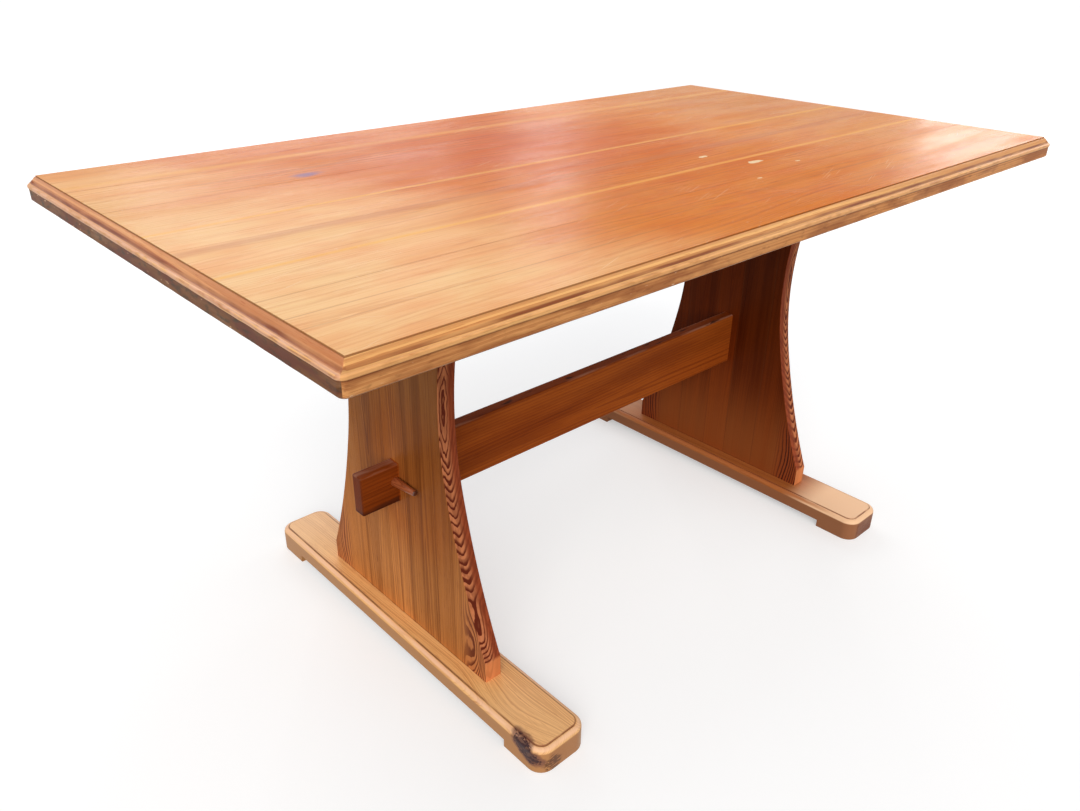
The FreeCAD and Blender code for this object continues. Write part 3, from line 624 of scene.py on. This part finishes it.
# Worn pale on the rail's arrises, and a painted highlight on the tenons' upper arris.
RAIL_WEAR_AND_HIGHLIGHT = (0.48, 0.24, 0.16)
RAIL_DENT = (0.03, 0.008, 0.004)
RAIL_END = (0.16, 0.03, 0.008)
CLOUD_SHADE = (0.55, 0.42, 0.34)
TENON_SHADE = (0.66, 0.60, 0.60)
TENON_UNDER_SHADE = (0.045, 0.010, 0.005)
TENON_ROOT = 436 * MM
TENON_LOW = 278 * MM
TENON_HIGH = 344 * MM
rail_high = np.array(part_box("stretcher")[1])


def rail_marks(place, colour, rough, late):
    """A dark top with rubbed arrises and dents, uneven wax on the sides, and darker tenons with
    painted shade below, a painted highlight along their upper arris and dark end grain."""
    x, y, z = parts_of(place)
    top = rise(z, rail_high[2] - 3.2 * MM, rail_high[2] - 0.6 * MM)
    edge = rise(abs(y), 6 * MM, 10 * MM)
    rubbed = rise(noise(drawn_out(place, 0, 60, 9), 3.0), 0.36, 0.6)
    colour = mix(top * 0.6, colour, RAIL_DARK)
    colour = mix(top * edge * rubbed * 0.5, colour, RAIL_WEAR_AND_HIGHLIGHT)
    dents = rise(noise(drawn_out(place, 0, 120, 22), 2.0), 0.60, 0.68)
    colour = mix(top * dents * 0.8, colour, RAIL_DENT)
    end = rise(abs(x), rail_high[0] - 2.5 * MM, rail_high[0] - 1.0 * MM)
    colour = mix(end * 0.6, colour, RAIL_END)
    cloud = rise(noise(drawn_out(place, 0, 26, 3.0), 3.0), 0.42, 0.66)
    colour = mix(cloud * 0.6, colour, CLOUD_SHADE, "MULTIPLY")
    tenon = rise(abs(x), TENON_ROOT, TENON_ROOT + 2 * MM)
    colour = mix(tenon * 0.8, colour, TENON_SHADE, "MULTIPLY")
    below = 1 - rise(z + (rubbed - 0.5) * 8 * MM, TENON_LOW, TENON_LOW + 14 * MM)
    # Painted shade on the lower part of each tenon.
    colour = mix(tenon * below * 0.8, colour, TENON_UNDER_SHADE)
    above = rise(z, TENON_HIGH - 3 * MM, TENON_HIGH)
    # Painted highlight along each tenon's upper arris.
    colour = mix(tenon * above * rubbed * 0.6, colour, RAIL_WEAR_AND_HIGHLIGHT)
    return colour, rough + top * 0.3


rail = frame["nodes"]["stretcher"]
refinish(rail, pine(
    "stretcher pine", along=0, through=1, heart=(0, 40 * MM, 0.29), lean=(0.05, 0.0, 0.01),
    ring=4.6 * MM, bend=0.7, wander=5 * MM, pale=RAIL_PALE, dark=RAIL_DARK, warm=RAIL_WARM,
    contrast=0.7, gloss=0.06, marks=rail_marks,
))


# ---- Pegs ----
# A turned wooden dowel is pushed through each tenon against the slab's outer face and stops
# the tenon from drawing back. Its ends are rounded over and dark with handling.
PEG_LENGTH = 91 * MM
PEG_RADIUS = 7.45 * MM
PEG_TIP = 4.4 * MM
PEG_SHANK = 38 * MM
PEG_ROUND = 2.2 * MM
PEG_PALE = (0.42, 0.11, 0.035)
PEG_DARK = (0.18, 0.035, 0.010)
PEG_END = (0.035, 0.010, 0.006)
PEG_STEPS = 40


def peg_rings(centre, direction):
    """A lathe turned about the peg's axis: a plain shank where it passes through the tenon,
    whittled thinner towards the tip, with a quarter circle at each end."""
    turn = np.linspace(0, math.pi / 2, 7)
    inner = PEG_ROUND * (1 - np.cos(turn))
    body = np.linspace(PEG_SHANK, PEG_LENGTH - PEG_ROUND, 12)
    reach = np.concatenate([inner, body, PEG_LENGTH - inner[::-1][1:]])
    drop = PEG_ROUND * (1 - np.sin(turn))
    share = np.clip((reach - PEG_SHANK) / (PEG_LENGTH - PEG_SHANK), 0, 1)
    radius = PEG_RADIUS - (PEG_RADIUS - PEG_TIP) * share
    radius -= np.concatenate([drop, np.zeros(len(body)), drop[::-1][1:]])
    along = reach - PEG_LENGTH / 2
    sideways = np.array([1.0, 0.0, 0.0])
    upwards = np.cross(sideways, direction)
    angle = np.arange(PEG_STEPS) * 2 * math.pi / PEG_STEPS
    circle = np.cos(angle)[:, None] * sideways + np.sin(angle)[:, None] * upwards
    return centre + along[:, None, None] * direction + radius[:, None, None] * circle


def peg_marks(centre, direction):
    """Marks for a peg with this middle and axis: both ends are dark."""

    def marks(place, colour, rough, late):
        level = {"operation": "DOT_PRODUCT"}
        reach = place.node("VectorMath", level, {0: place, 1: tuple(direction)}, 1)
        middle = float(np.dot(centre, direction))
        end = rise(abs(reach - middle), PEG_LENGTH / 2 - 2.5 * MM, PEG_LENGTH / 2 - 0.5 * MM)
        return mix(end * 0.85, colour, PEG_END), rough + end * 0.1

    return marks


for joint in frame["joints"]:
    node = joint["child"]
    low, high = [np.array(corner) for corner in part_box(node)]
    centre = (low + high) / 2
    direction = np.array(joint["axis"]) / np.linalg.norm(joint["axis"])
    wood = pine(
        node.replace("_", " ") + " wood", along=1, through=2, heart=tuple(centre + 0.01),
        lean=(-0.07, 0, 0), ring=2.2 * MM, bend=0.8, wander=1 * MM, pale=PEG_PALE,
        dark=PEG_DARK, warm=RAIL_WARM, contrast=0.6, rough=0.26, gloss=0.5,
        marks=peg_marks(centre, direction),
    )
    rings = peg_rings(centre, direction)
    peg = skin(node + "_dowel", rings, closed_faces(rings), wood, node)
    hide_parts(node)


# ---- Bearers and screws ----
# A planed pine batten lies across the top of each slab, and six round-head steel screws in
# sunk holes hold the top down to it. The underside was never waxed.
BEARER_PALE = (0.50, 0.26, 0.12)
BEARER_DARK = (0.24, 0.09, 0.035)
BEARER_WARM = (0.9, 0.82, 0.74)
STEEL_BRIGHT = (0.56, 0.53, 0.49)
STEEL_DULL = (0.20, 0.15, 0.11)

for side in ("left", "right"):
    bearer = frame["nodes"][side + "_bearer"]
    low, high = [np.array(corner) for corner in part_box(side + "_bearer")]
    refinish(bearer, pine(
        side + " bearer pine", along=1, through=2,
        heart=((low[0] + high[0]) / 2 + 12 * MM, 0.05, low[2] - 20 * MM), lean=(0.01, 0, 0),
        ring=4.2 * MM, bend=0.8, pale=BEARER_PALE, dark=BEARER_DARK, warm=BEARER_WARM,
        contrast=0.6, rough=0.6,
    ))

    steel = bpy.data.materials.new(side + " screw steel")
    steel.use_nodes = True
    shader = steel.node_tree.nodes["Principled BSDF"]
    start = Signal(steel.node_tree)
    place = start.node("TexCoord", {}, {}, "Object")
    grime = rise(noise(drawn_out(place, 2, 700, 300), 4.0), 0.42, 0.66)
    tarnish = mix(grime, STEEL_BRIGHT, STEEL_DULL)
    steel.node_tree.links.new(tarnish.socket, shader.inputs["Base Color"])
    steel.node_tree.links.new((0.28 + grime * 0.35).socket, shader.inputs["Roughness"])
    steel.node_tree.links.new((0.95 - grime * 0.4).socket, shader.inputs["Metallic"])
    screws = frame["nodes"][side + "_bearer_screws"]
    refinish(screws, steel)


# ---- Tabletop boards ----
# Six pine boards are glued edge to edge. Pale lines show along some joints, and years of wax
# and use have left stains, scratches, rubbed patches and a few bare chips.
BOARD_ARRIS = 0.5 * MM
TOP_PALE = (0.75, 0.215, 0.009)
TOP_DARK = (0.42, 0.085, 0.004)
TOP_WARM = (0.94, 0.82, 0.66)
TOP_FADED_AND_SHEEN = (0.91, 0.60, 0.285)
TOP_PINK_SHEEN = (0.88, 0.45, 0.19)
TOP_WORN = (0.84, 0.43, 0.15)
UNWAXED_PALE = (0.54, 0.30, 0.15)
UNWAXED_DARK = (0.30, 0.12, 0.05)
JOINT_PALE = (0.90, 0.47, 0.11)
# Painted shadow of the quirk where the boards meet the edge strips.
QUIRK_SHADOW_LINE = (0.22, 0.075, 0.025)
RICH_SHADE = (0.89, 0.58, 0.30)
DULL_SHADE = (0.86, 0.82, 0.74)
WISP_SHADE = (0.72, 0.48, 0.34)
THICK_SHADE = (0.88, 0.68, 0.56)
BLOTCH_SHADE = (0.94, 0.70, 0.56)
DARK_LINE = (0.36, 0.12, 0.04)
RED_LINE = (0.52, 0.17, 0.07)
INK = (0.16, 0.10, 0.26)
BARE_CHIP = (0.90, 0.74, 0.48)
SCUFF_PALE = (0.92, 0.66, 0.42)
SCRATCH_PALE = (0.95, 0.70, 0.46)
TOP_LEVEL = 750 * MM
STRIP_LINE = 17.2 * MM
BRIGHT_JOINTS = (-165 * MM, 20 * MM)
FAINT_JOINT = 300 * MM
RED_PLACE = -70 * MM
DARK_LINES = ((278, 3.5), (148, 2.4), (-250, 2.6), (-306, 2.0), (-337, 2.0))
CHIPS = ((145, -193, 12), (110, -118, 8), (205, -232, 4), (60, -262, 4))
SCRATCH_RUNS = ((0.5, 0.31), (-0.35, 0.74))


def eased_box(low, high, radius):
    """A box with rounded edges: the corners of a smaller box, each pushed out by the radius
    along the directions of one eighth of a sphere."""
    quarter = np.linspace(0, math.pi / 2, 5)
    tilt = np.concatenate([quarter - math.pi / 2, quarter])
    turn = np.concatenate([quarter + n * math.pi / 2 for n in range(4)])
    sign_y = np.repeat([1, -1, -1, 1], len(quarter))
    sign_z = np.repeat([1, 1, -1, -1], len(quarter))
    sign_x = np.repeat([-1, 1], len(quarter))
    half = (high - low) / 2 - radius
    x = (half[0] * sign_x + radius * np.sin(tilt))[:, None] * np.ones(len(turn))
    y = half[1] * sign_y + radius * np.cos(tilt)[:, None] * np.cos(turn)
    z = half[2] * sign_z + radius * np.cos(tilt)[:, None] * np.sin(turn)
    return (low + high) / 2 + np.stack([x, y, z], axis=-1)


def streak(place, across, width, wave, spread=0.55):
    """A soft line along the board at this Y, wandering by a wave and fading in and out."""
    y = parts_of(place)[1]
    bent = y + (noise(drawn_out(place, 0, 3, 2.2), 1.0) - 0.5) * (2 * wave)
    fade = rise(noise(drawn_out(place, 0, 40, 3.0), 2.0), 0.5 - spread, 0.75 - spread * 0.2)
    return (1 - rise(abs(bent - across), 0.15 * width, width)) * fade


def top_marks(place, colour, rough, late):
    """What time has done to the top as a whole, with each mark at its own place, and some painted
    light. The left and front are painted paler and pinker, as fading wax with a painted sheen,
    and the wax has worn at the right, over a rich patch in the middle. Then come the figure,
    joint lines, ink stain, chips, scuffs and scratches, a painted shadow line along the edge
    strips and the bare wood underneath."""
    x, y, z = parts_of(place)
    drift = noise(drawn_out(place, 0, 5, 3), 2.0)
    fade_and_sheen = rise((drift - 0.5) * 0.7 - x - y * 0.35, 0.20, 0.80)
    blush = rise(noise(drawn_out(place, 0, 10, 6), 3.0), 0.42, 0.62)
    colour = mix(rise(x, 0.05, 0.60) * 0.45, colour, TOP_WORN)
    rich = blob(place, (-0.08, 0.14, TOP_LEVEL), (0.52, 0.38, 0.1))
    colour = mix(rich * 0.9, colour, RICH_SHADE, "MULTIPLY")
    dull = rise(x, 0.30, 0.60) * rise(y, -0.35, 0.15)
    colour = mix(dull * 0.9, colour, DULL_SHADE, "MULTIPLY")
    # Fading wax and painted sheen: the left and front are painted paler and pinker.
    colour = mix(fade_and_sheen * (0.88 - late * 0.25), colour, mix(blush * 0.5, TOP_FADED_AND_SHEEN, TOP_PINK_SHEEN))

    sway = (noise(drawn_out(place, 0, 4, 3), 1.0) - 0.5) * (60 * MM)
    flow = place.node("CombineXYZ", {}, {"X": x, "Y": y + sway, "Z": z})
    wisps = rise(noise(drawn_out(flow, 0, 170, 13), 2.0), 0.58, 0.76)
    thick = rise(noise(drawn_out(flow, 0, 70, 7), 3.0), 0.52, 0.70)
    blotch = rise(noise(drawn_out(place, 0, 22, 10), 4.0), 0.40, 0.64)
    strong = 0.45 - fade_and_sheen * 0.18
    colour = mix(wisps * strong, colour, WISP_SHADE, "MULTIPLY")
    colour = mix(thick * strong, colour, THICK_SHADE, "MULTIPLY")
    colour = mix(blotch * 0.45, colour, BLOTCH_SHADE, "MULTIPLY")

    for across in BRIGHT_JOINTS:
        colour = mix(streak(place, across, 6.5 * MM, 1.2 * MM, 0.9) * 0.6, colour, JOINT_PALE)
    colour = mix(streak(place, FAINT_JOINT, 14 * MM, 3 * MM) * 0.4, colour, JOINT_PALE)
    for across, width in DARK_LINES:
        line = streak(place, across * MM, width * MM, 1.6 * MM, 0.4)
        colour = mix(line * 0.45, colour, DARK_LINE)
    colour = mix(streak(place, RED_PLACE, 17 * MM, 12 * MM) * 0.45, colour, RED_LINE)

    stain = noise(drawn_out(place, 0, 70, 34), 2.0)
    ink = blob(place, (-438 * MM, 173 * MM, TOP_LEVEL), (46 * MM, 22 * MM, 20 * MM))
    colour = mix(rise(ink + (stain - 0.5) * 0.8, 0.15, 0.95) * 0.75, colour, INK)
    for chip_x, chip_y, reach in CHIPS:
        middle = (chip_x * MM, chip_y * MM, TOP_LEVEL)
        chip = blob(place, middle, (reach * 2.6 * MM, reach * MM, 9 * MM))
        bare = rise(chip + (noise(drawn_out(place, 0, 150, 90), 3.0) - 0.5) * 1.1, 0.42, 0.5)
        colour = mix(bare * 0.8, colour, BARE_CHIP)
        rough = rough + bare * 0.2
    scuffs = rise(noise(drawn_out(place, 0, 300, 130), 3.0), 0.66, 0.73)
    used = rise(noise(drawn_out(place, 0, 6, 5), 2.0), 0.42, 0.58)
    upper = rise(z, cad_high[2] - 4 * MM, cad_high[2] - 1.5 * MM)
    colour = mix(scuffs * used * upper * 0.5, colour, SCUFF_PALE)
    for slant, where in SCRATCH_RUNS:
        turned = place.node("Mapping", {}, {"Vector": place, "Rotation": (0, 0, slant)})
        lines = noise(drawn_out(turned, 0, 620, 9), 1.0)
        moved = place.node("VectorMath", {"operation": "ADD"}, {0: place, 1: (where, where, 0)})
        patch = noise(drawn_out(moved, 0, 9, 7), 1.0)
        scratch = rise(lines, 0.70, 0.735) * rise(patch, 0.5, 0.62) * upper
        colour = mix(scratch * 0.55, colour, SCRATCH_PALE)
        rough = rough + scratch * 0.15
    edges = []
    for reach, end in ((abs(x), cad_high[0]), (abs(y), cad_high[1])):
        edges.append(rise(reach, end - STRIP_LINE, end - STRIP_LINE + 0.5 * MM))
    # Painted shadow line along the edge strips.
    colour = mix(x.maths("MAXIMUM", *edges) * 0.7, colour, QUIRK_SHADOW_LINE)
    rubbed = rise(noise(drawn_out(place, 0, 4.5, 3), 2.0), 0.42, 0.68)
    smears = rise(noise(drawn_out(flow, 0, 34, 8), 3.0), 0.44, 0.62)
    under = 1 - rise(z, cad_high[2] - 28 * MM, cad_high[2] - 20 * MM)
    colour = mix(under * 0.6, colour, mix(late, UNWAXED_PALE, UNWAXED_DARK))
    return colour, rough + rubbed * 0.05 + smears * 0.05 + under * 0.35


BOARDS = (
    dict(heart=(0.2, -0.33, 0.66), ring=3.4 * MM, bend=0.34),
    dict(heart=(-0.3, -0.20, 0.70), ring=3.2 * MM, bend=0.50),
    dict(heart=(0.5, -0.09, 0.69), ring=3.6 * MM, bend=0.28),
    dict(heart=(0.0, 0.10, 0.65), ring=3.0 * MM, bend=0.42),
    dict(heart=(-0.5, 0.21, 0.70), ring=3.4 * MM, bend=0.30),
    dict(heart=(0.1, 0.36, 0.68), ring=3.1 * MM, bend=0.45),
)
for number, board_grain in enumerate(BOARDS, 1):
    node = "top_board_%d" % number
    low, high = [np.array(corner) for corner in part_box(node)]
    tilt = 0.010 * math.sin(2.1 * number)
    wood = pine(
        "top board %d pine" % number, along=0, through=2, lean=(0, tilt, tilt / 3),
        wander=5 * MM, pale=TOP_PALE, dark=TOP_DARK, warm=TOP_WARM, contrast=0.42, early=0.45,
        rough=0.18, gloss=0.017, marks=top_marks, **board_grain,
    )
    rings = eased_box(low, high, BOARD_ARRIS)
    board = skin(node + "_planed", rings, closed_faces(rings), wood, "table")
    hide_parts(node)


# ---- Edge mouldings ----
# Four strips of pine are mitred round the boards, a little below their surface. Each is worked
# to an ogee and a round nose over a plain band. Use has worn the corners and soiled the ends.
OGEE_TOP = 30.4 * MM
OGEE_RADIUS = 4.57 * MM
OGEE_TURN = math.radians(80)
NOSE_REACH = 16.5 * MM
NOSE_RADIUS = 1.5 * MM
NOSE_DEPTH = 5 * MM
BAND_SETBACK = 1.6 * MM
BAND_CHAMFER = 2 * MM
CORNER_WEAR = 33 * MM
LEAST_WEAR = 9 * MM
MOULDING_FOOT = 21 * MM
WORN_DROP = 10.4 * MM
KNOCK = 0.5 * MM
MITRE_FULLNESS = 0.8
STRIP_HEIGHT = 32 * MM
NOSE_START = 11 * MM
STRIP_PALE = (0.93, 0.53, 0.20)
STRIP_DARK = (0.46, 0.12, 0.026)
STRIP_WARM = (0.92, 0.78, 0.66)
HOLLOW_SHADE = (0.20, 0.040, 0.008)
# Painted highlight colours for the nose of the clean and the grimy strips.
NOSE_HIGHLIGHT = (0.92, 0.47, 0.18)
GRIMY_NOSE_HIGHLIGHT = (0.84, 0.46, 0.29)
NOSE_SHADOW = (0.16, 0.045, 0.016)
BAND_SHADE = (0.62, 0.25, 0.12)
BAND_PATCH = (0.27, 0.070, 0.018)
BAND_SPECK = (0.17, 0.040, 0.012)
BAND_CHIP = (0.82, 0.54, 0.32)
BAND_LIP = (0.80, 0.44, 0.24)
GRIMY_TOP = (0.90, 0.78, 0.90)
GRIME = (0.120, 0.046, 0.019)
GRIME_DARK = (0.13, 0.032, 0.020)
GRIME_PALE = (0.30, 0.17, 0.10)
GRIME_SPECK = (0.05, 0.038, 0.020)


def moulding_profile():
    """Outline of the strip, as (out from the boards, up from the underside): a round and a
    hollow of equal arcs, a flat, the nose between two quarter circles, and the band with its
    chamfer."""
    turn = np.linspace(0, OGEE_TURN, 9)
    reach = 2 * OGEE_RADIUS * math.sin(OGEE_TURN)
    low_end = OGEE_TOP - 2 * OGEE_RADIUS * (1 - math.cos(OGEE_TURN))
    quarter = np.linspace(0, math.pi / 2, 6)
    nose_out = NOSE_REACH - NOSE_RADIUS + NOSE_RADIUS * np.sin(quarter)
    nose_drop = NOSE_RADIUS * (1 - np.cos(quarter))
    band = NOSE_REACH - BAND_SETBACK
    out = np.concatenate([
        [0], OGEE_RADIUS * np.sin(turn), (reach - OGEE_RADIUS * np.sin(turn))[::-1],
        nose_out, nose_out[::-1], [band, band, band - BAND_CHAMFER, 0],
    ])
    up = np.concatenate([
        [OGEE_TOP], OGEE_TOP - OGEE_RADIUS * (1 - np.cos(turn)),
        (low_end + OGEE_RADIUS * (1 - np.cos(turn)))[::-1],
        low_end - nose_drop, (low_end - NOSE_DEPTH + nose_drop)[::-1],
        [low_end - NOSE_DEPTH, BAND_CHAMFER, 0, 0],
    ])
    return out, up


def worn_strip(inner_half, out, up, wear, seed):
    """The profile swept along the strip, as (along, out, up) for each station and profile point.
    Each mitred corner is worn to an arc, up to the mitre's 45 degrees. Its radius grows with
    the reach, up to the wear given for that end. There the moulding is rubbed towards one full
    curve, which falls with the square of the reach. Knocks have pushed the nose in here and
    there."""
    turn = np.radians(np.linspace(45, 0, 8))[:, None]
    radius = [share * out / NOSE_REACH for share in wear]
    low_along, high_along = [inner_half + out - r * (1 - np.sin(turn)) for r in radius]
    low_out, high_out = [out - r * (1 - np.cos(turn)) for r in radius]
    shares = np.linspace(-1, 1, 61)[2:-2, None]
    knocks = np.random.default_rng(seed).uniform(-2.2, 1, len(shares)).clip(0)
    on_nose = np.clip((out - NOSE_START) / (NOSE_REACH - NOSE_START), 0, 1)
    middle_along = shares * inner_half + 0 * out
    middle_out = out - KNOCK * knocks[:, None] * on_nose
    rounded = OGEE_TOP - WORN_DROP * (out / NOSE_REACH) ** 2
    fullness = MITRE_FULLNESS * np.sin(turn) / math.sin(math.pi / 4) * (up > MOULDING_FOOT)
    low_up, high_up = [up + (rounded - up) * fullness * share / CORNER_WEAR for share in wear]
    along = np.concatenate([-low_along, middle_along, high_along[::-1]])
    worn_out = np.concatenate([low_out, middle_out, high_out[::-1]])
    return along, worn_out, np.concatenate([low_up, up + 0 * middle_out, high_up[::-1]])


def strip_marks(reach_of, along, grimy):
    """Marks for a strip: a painted shadow line along the boards and painted shade in the hollow,
    a painted highlight along the nose with a painted shadow line under it, and a chipped band
    with a worn lower lip, brown with dirt on a grimy strip."""

    def marks(place, colour, rough, late):
        out = reach_of(place)
        level = parts_of(place)[2] - cad_high[2] + STRIP_HEIGHT
        smudge = rise(noise(drawn_out(place, along, 40, 9), 3.0), 0.35, 0.65)
        on_top = rise(level, 20 * MM, 21.5 * MM)
        hollow = rise(out, 4.2 * MM, 6.5 * MM) * (1 - rise(out, 9.2 * MM, 11 * MM)) * on_top
        # Painted shade in the ogee hollow.
        colour = mix(hollow * (0.4 + smudge * 0.55), colour, HOLLOW_SHADE)
        # Painted shadow line along the boards.
        colour = mix((1 - rise(out, 0.3 * MM, 1.1 * MM)) * 0.6, colour, QUIRK_SHADOW_LINE)
        nose = rise(out, NOSE_START, 13.5 * MM) * rise(level, 17 * MM, 18.5 * MM)
        knocks_and_glints = rise(noise(drawn_out(place, along, 120, 45), 3.0), 0.34, 0.56)
        # Painted highlight along the nose.
        colour = mix(nose * knocks_and_glints * 0.6, colour, GRIMY_NOSE_HIGHLIGHT if grimy else NOSE_HIGHLIGHT)
        band = (1 - rise(level, 16.8 * MM, 18 * MM)) * rise(out, 9 * MM, NOSE_START)
        speckle = noise(drawn_out(place, along, 170, 60), 4.0)
        patches = noise(drawn_out(place, along, 60, 11), 5.0)
        colour = mix(band * 0.4, colour, BAND_SHADE, "MULTIPLY")
        if grimy:
            colour = mix(on_top * (1 - nose), colour, GRIMY_TOP, "MULTIPLY")
            colour = mix(band * 0.85, colour, GRIME)
            colour = mix(band * rise(patches, 0.44, 0.62) * 0.75, colour, GRIME_DARK)
            colour = mix(band * (1 - rise(patches, 0.30, 0.46)) * 0.7, colour, GRIME_PALE)
            colour = mix(band * rise(speckle, 0.50, 0.70) * 0.8, colour, GRIME_SPECK)
        else:
            colour = mix(band * rise(patches, 0.40, 0.60) * 0.65, colour, BAND_PATCH)
            colour = mix(band * rise(speckle, 0.55, 0.72) * 0.4, colour, BAND_SPECK)
        chips = 1 - rise(speckle, 0.28, 0.34)
        colour = mix(band * chips * 0.7, colour, BAND_CHIP)
        under_nose = rise(level, 15.2 * MM, 17.2 * MM) * band
        colour = mix(under_nose * 0.6, colour, NOSE_SHADOW)
        lip = 1 - rise(level, 1.2 * MM, 2.4 * MM)
        colour = mix(lip * knocks_and_glints * 0.6, colour, BAND_LIP)
        return colour, rough + band * 0.15

    return marks


profile_out, profile_up = moulding_profile()
for seed, side in enumerate(("front", "back", "left", "right"), 11):
    node = side + "_lipping"
    low, high = [np.array(corner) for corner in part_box(node)]
    lengthways = 0 if side in ("front", "back") else 1
    outwards = 1 - lengthways
    sign = -1 if side in ("front", "left") else 1
    inner_half = (high[lengthways] - low[lengthways]) / 2 - NOSE_REACH
    inner_face = high[outwards] if sign < 0 else low[outwards]
    wear = (LEAST_WEAR if side in ("front", "left") else CORNER_WEAR, CORNER_WEAR)
    along, out, up = worn_strip(inner_half, profile_out, profile_up, wear, seed)
    rings = np.zeros(along.shape + (3,))
    rings[..., lengthways] = along
    rings[..., outwards] = inner_face + sign * out
    rings[..., 2] = low[2] + up

    def reach_of(place, axis=outwards, face=inner_face, way=sign):
        return (parts_of(place)[axis] - face) * way

    heart = [0.0, 0.0, low[2] - 30 * MM]
    heart[outwards] = inner_face + sign * 2 * MM
    wood = pine(
        side + " moulding pine", along=lengthways, through=2, heart=heart, lean=(0, 0, 0.004),
        ring=4.4 * MM, bend=0.9, wander=4 * MM, pale=STRIP_PALE, dark=STRIP_DARK,
        warm=STRIP_WARM, contrast=0.7, rough=0.36, gloss=0.2,
        marks=strip_marks(reach_of, lengthways, grimy=lengthways == 1),
    )
    strip = skin(node + "_moulded", rings, closed_faces(rings), wood, "table")
    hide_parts(node)


# ---- Floor, light and camera ----
# The table stands on a plain pale floor under a soft even sky. A hazy sun shines from over its
# front left corner, and three bright panels behind it are mirrored in the waxed top.
FLOOR_REACH = 30.0
FLOOR_COLOURS = ((0.13, 0.12, 0.11), (0.64, 0.64, 0.64))
FLOOR_GLOW = ((0, 0, 0), (0.42, 0.42, 0.42))
SKY_COLOURS = ((0.62, 0.63, 0.65), (1, 1, 1))
SUN_STRENGTH = 2.06
SUN_SPREAD = math.radians(50)
SUN_COLOUR = (1.0, 0.97, 0.92)
SUN_FROM = (-0.58, -0.64, 0.50)
PANELS = (
    ("left panel", (1.64, 4.14, 2.5), (2.15, 2.2), 36),
    ("middle panel", (3.04, 3.37, 2.6), (0.45, 1.8), 14),
    ("right panel", (5.21, 1.03, 1.7), (1.6, 1.8), 31),
)
CAMERA_PLACE = (-1.070485, -1.004511, 1.054878)
CAMERA_YAW = math.radians(46.9)
CAMERA_PITCH = math.radians(-27.61)
CAMERA_ROLL = math.radians(0.88)
CAMERA_LENS = 29.668


def as_seen(start, colours):
    """The first colour as light for other surfaces, and the second where the surface is seen
    by the camera, mirrored or through glass."""
    kinds = ("Is Camera Ray", "Is Glossy Ray", "Is Transmission Ray")
    seen, mirrored, through = [start.node("LightPath", {}, {}, kind) for kind in kinds]
    return mix(seen.maths("MAXIMUM", seen, seen.maths("MAXIMUM", mirrored, through)), *colours)


floor_mesh = bpy.data.meshes.new("floor")
corners = [(x * FLOOR_REACH, y * FLOOR_REACH, 0) for x, y in ((-1, -1), (1, -1), (1, 1), (-1, 1))]
floor_mesh.from_pydata(corners, [], [[0, 1, 2, 3]])
floor = bpy.data.objects.new("floor", floor_mesh)
bpy.context.scene.collection.objects.link(floor)
floor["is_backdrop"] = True
floor_material = bpy.data.materials.new("pale floor")
floor_material.use_nodes = True
tree = floor_material.node_tree
start = Signal(tree)
pale_floor = tree.nodes["Principled BSDF"]
tree.links.new(as_seen(start, FLOOR_COLOURS).socket, pale_floor.inputs["Base Color"])
tree.links.new(as_seen(start, FLOOR_GLOW).socket, pale_floor.inputs["Emission Color"])
pale_floor.inputs["Emission Strength"].default_value = 1
pale_floor.inputs["Roughness"].default_value = 1
pale_floor.inputs["Specular IOR Level"].default_value = 0
floor_mesh.materials.append(floor_material)

world = bpy.data.worlds.new("sky")
bpy.context.scene.world = world
world.use_nodes = True
tree = world.node_tree
sky = as_seen(Signal(tree), SKY_COLOURS)
tree.links.new(sky.socket, tree.nodes["Background"].inputs["Color"])

sun_data = bpy.data.lights.new("hazy sun", "SUN")
sun_data.energy = SUN_STRENGTH
sun_data.angle = SUN_SPREAD
sun_data.color = SUN_COLOUR
sun = bpy.data.objects.new("hazy sun", sun_data)
bpy.context.scene.collection.objects.link(sun)
sun.rotation_euler = Vector(SUN_FROM).to_track_quat("Z", "Y").to_euler()

for name, place, size, power in PANELS:
    panel_data = bpy.data.lights.new(name, "AREA")
    panel_data.shape = "RECTANGLE"
    panel_data.size, panel_data.size_y = size
    panel_data.energy = power
    panel = bpy.data.objects.new(name, panel_data)
    bpy.context.scene.collection.objects.link(panel)
    panel.location = place
    away = Vector(place) - Vector((0, 0, TOP_LEVEL))
    panel.rotation_euler = away.to_track_quat("Z", "Y").to_euler()

view = np.array([
    math.cos(CAMERA_PITCH) * math.cos(CAMERA_YAW),
    math.cos(CAMERA_PITCH) * math.sin(CAMERA_YAW),
    math.sin(CAMERA_PITCH),
])
level_right = np.cross(view, [0, 0, 1])
level_right /= np.linalg.norm(level_right)
level_up = np.cross(level_right, view)
right = math.cos(CAMERA_ROLL) * level_right + math.sin(CAMERA_ROLL) * level_up
up = math.cos(CAMERA_ROLL) * level_up - math.sin(CAMERA_ROLL) * level_right
camera_data = bpy.data.cameras.new("camera")
camera_data.sensor_width = 36
camera_data.lens = CAMERA_LENS
camera = bpy.data.objects.new("camera", camera_data)
bpy.context.scene.collection.objects.link(camera)
placing = np.identity(4)
placing[:3] = np.column_stack([right, up, -view, CAMERA_PLACE])
camera.matrix_world = Matrix(placing.tolist())
bpy.context.scene.camera = camera
bpy.context.scene.view_settings.view_transform = "Standard"

low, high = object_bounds()
corners = {"cad": [list(cad_low), list(cad_high)], "visual": [list(low), list(high)]}
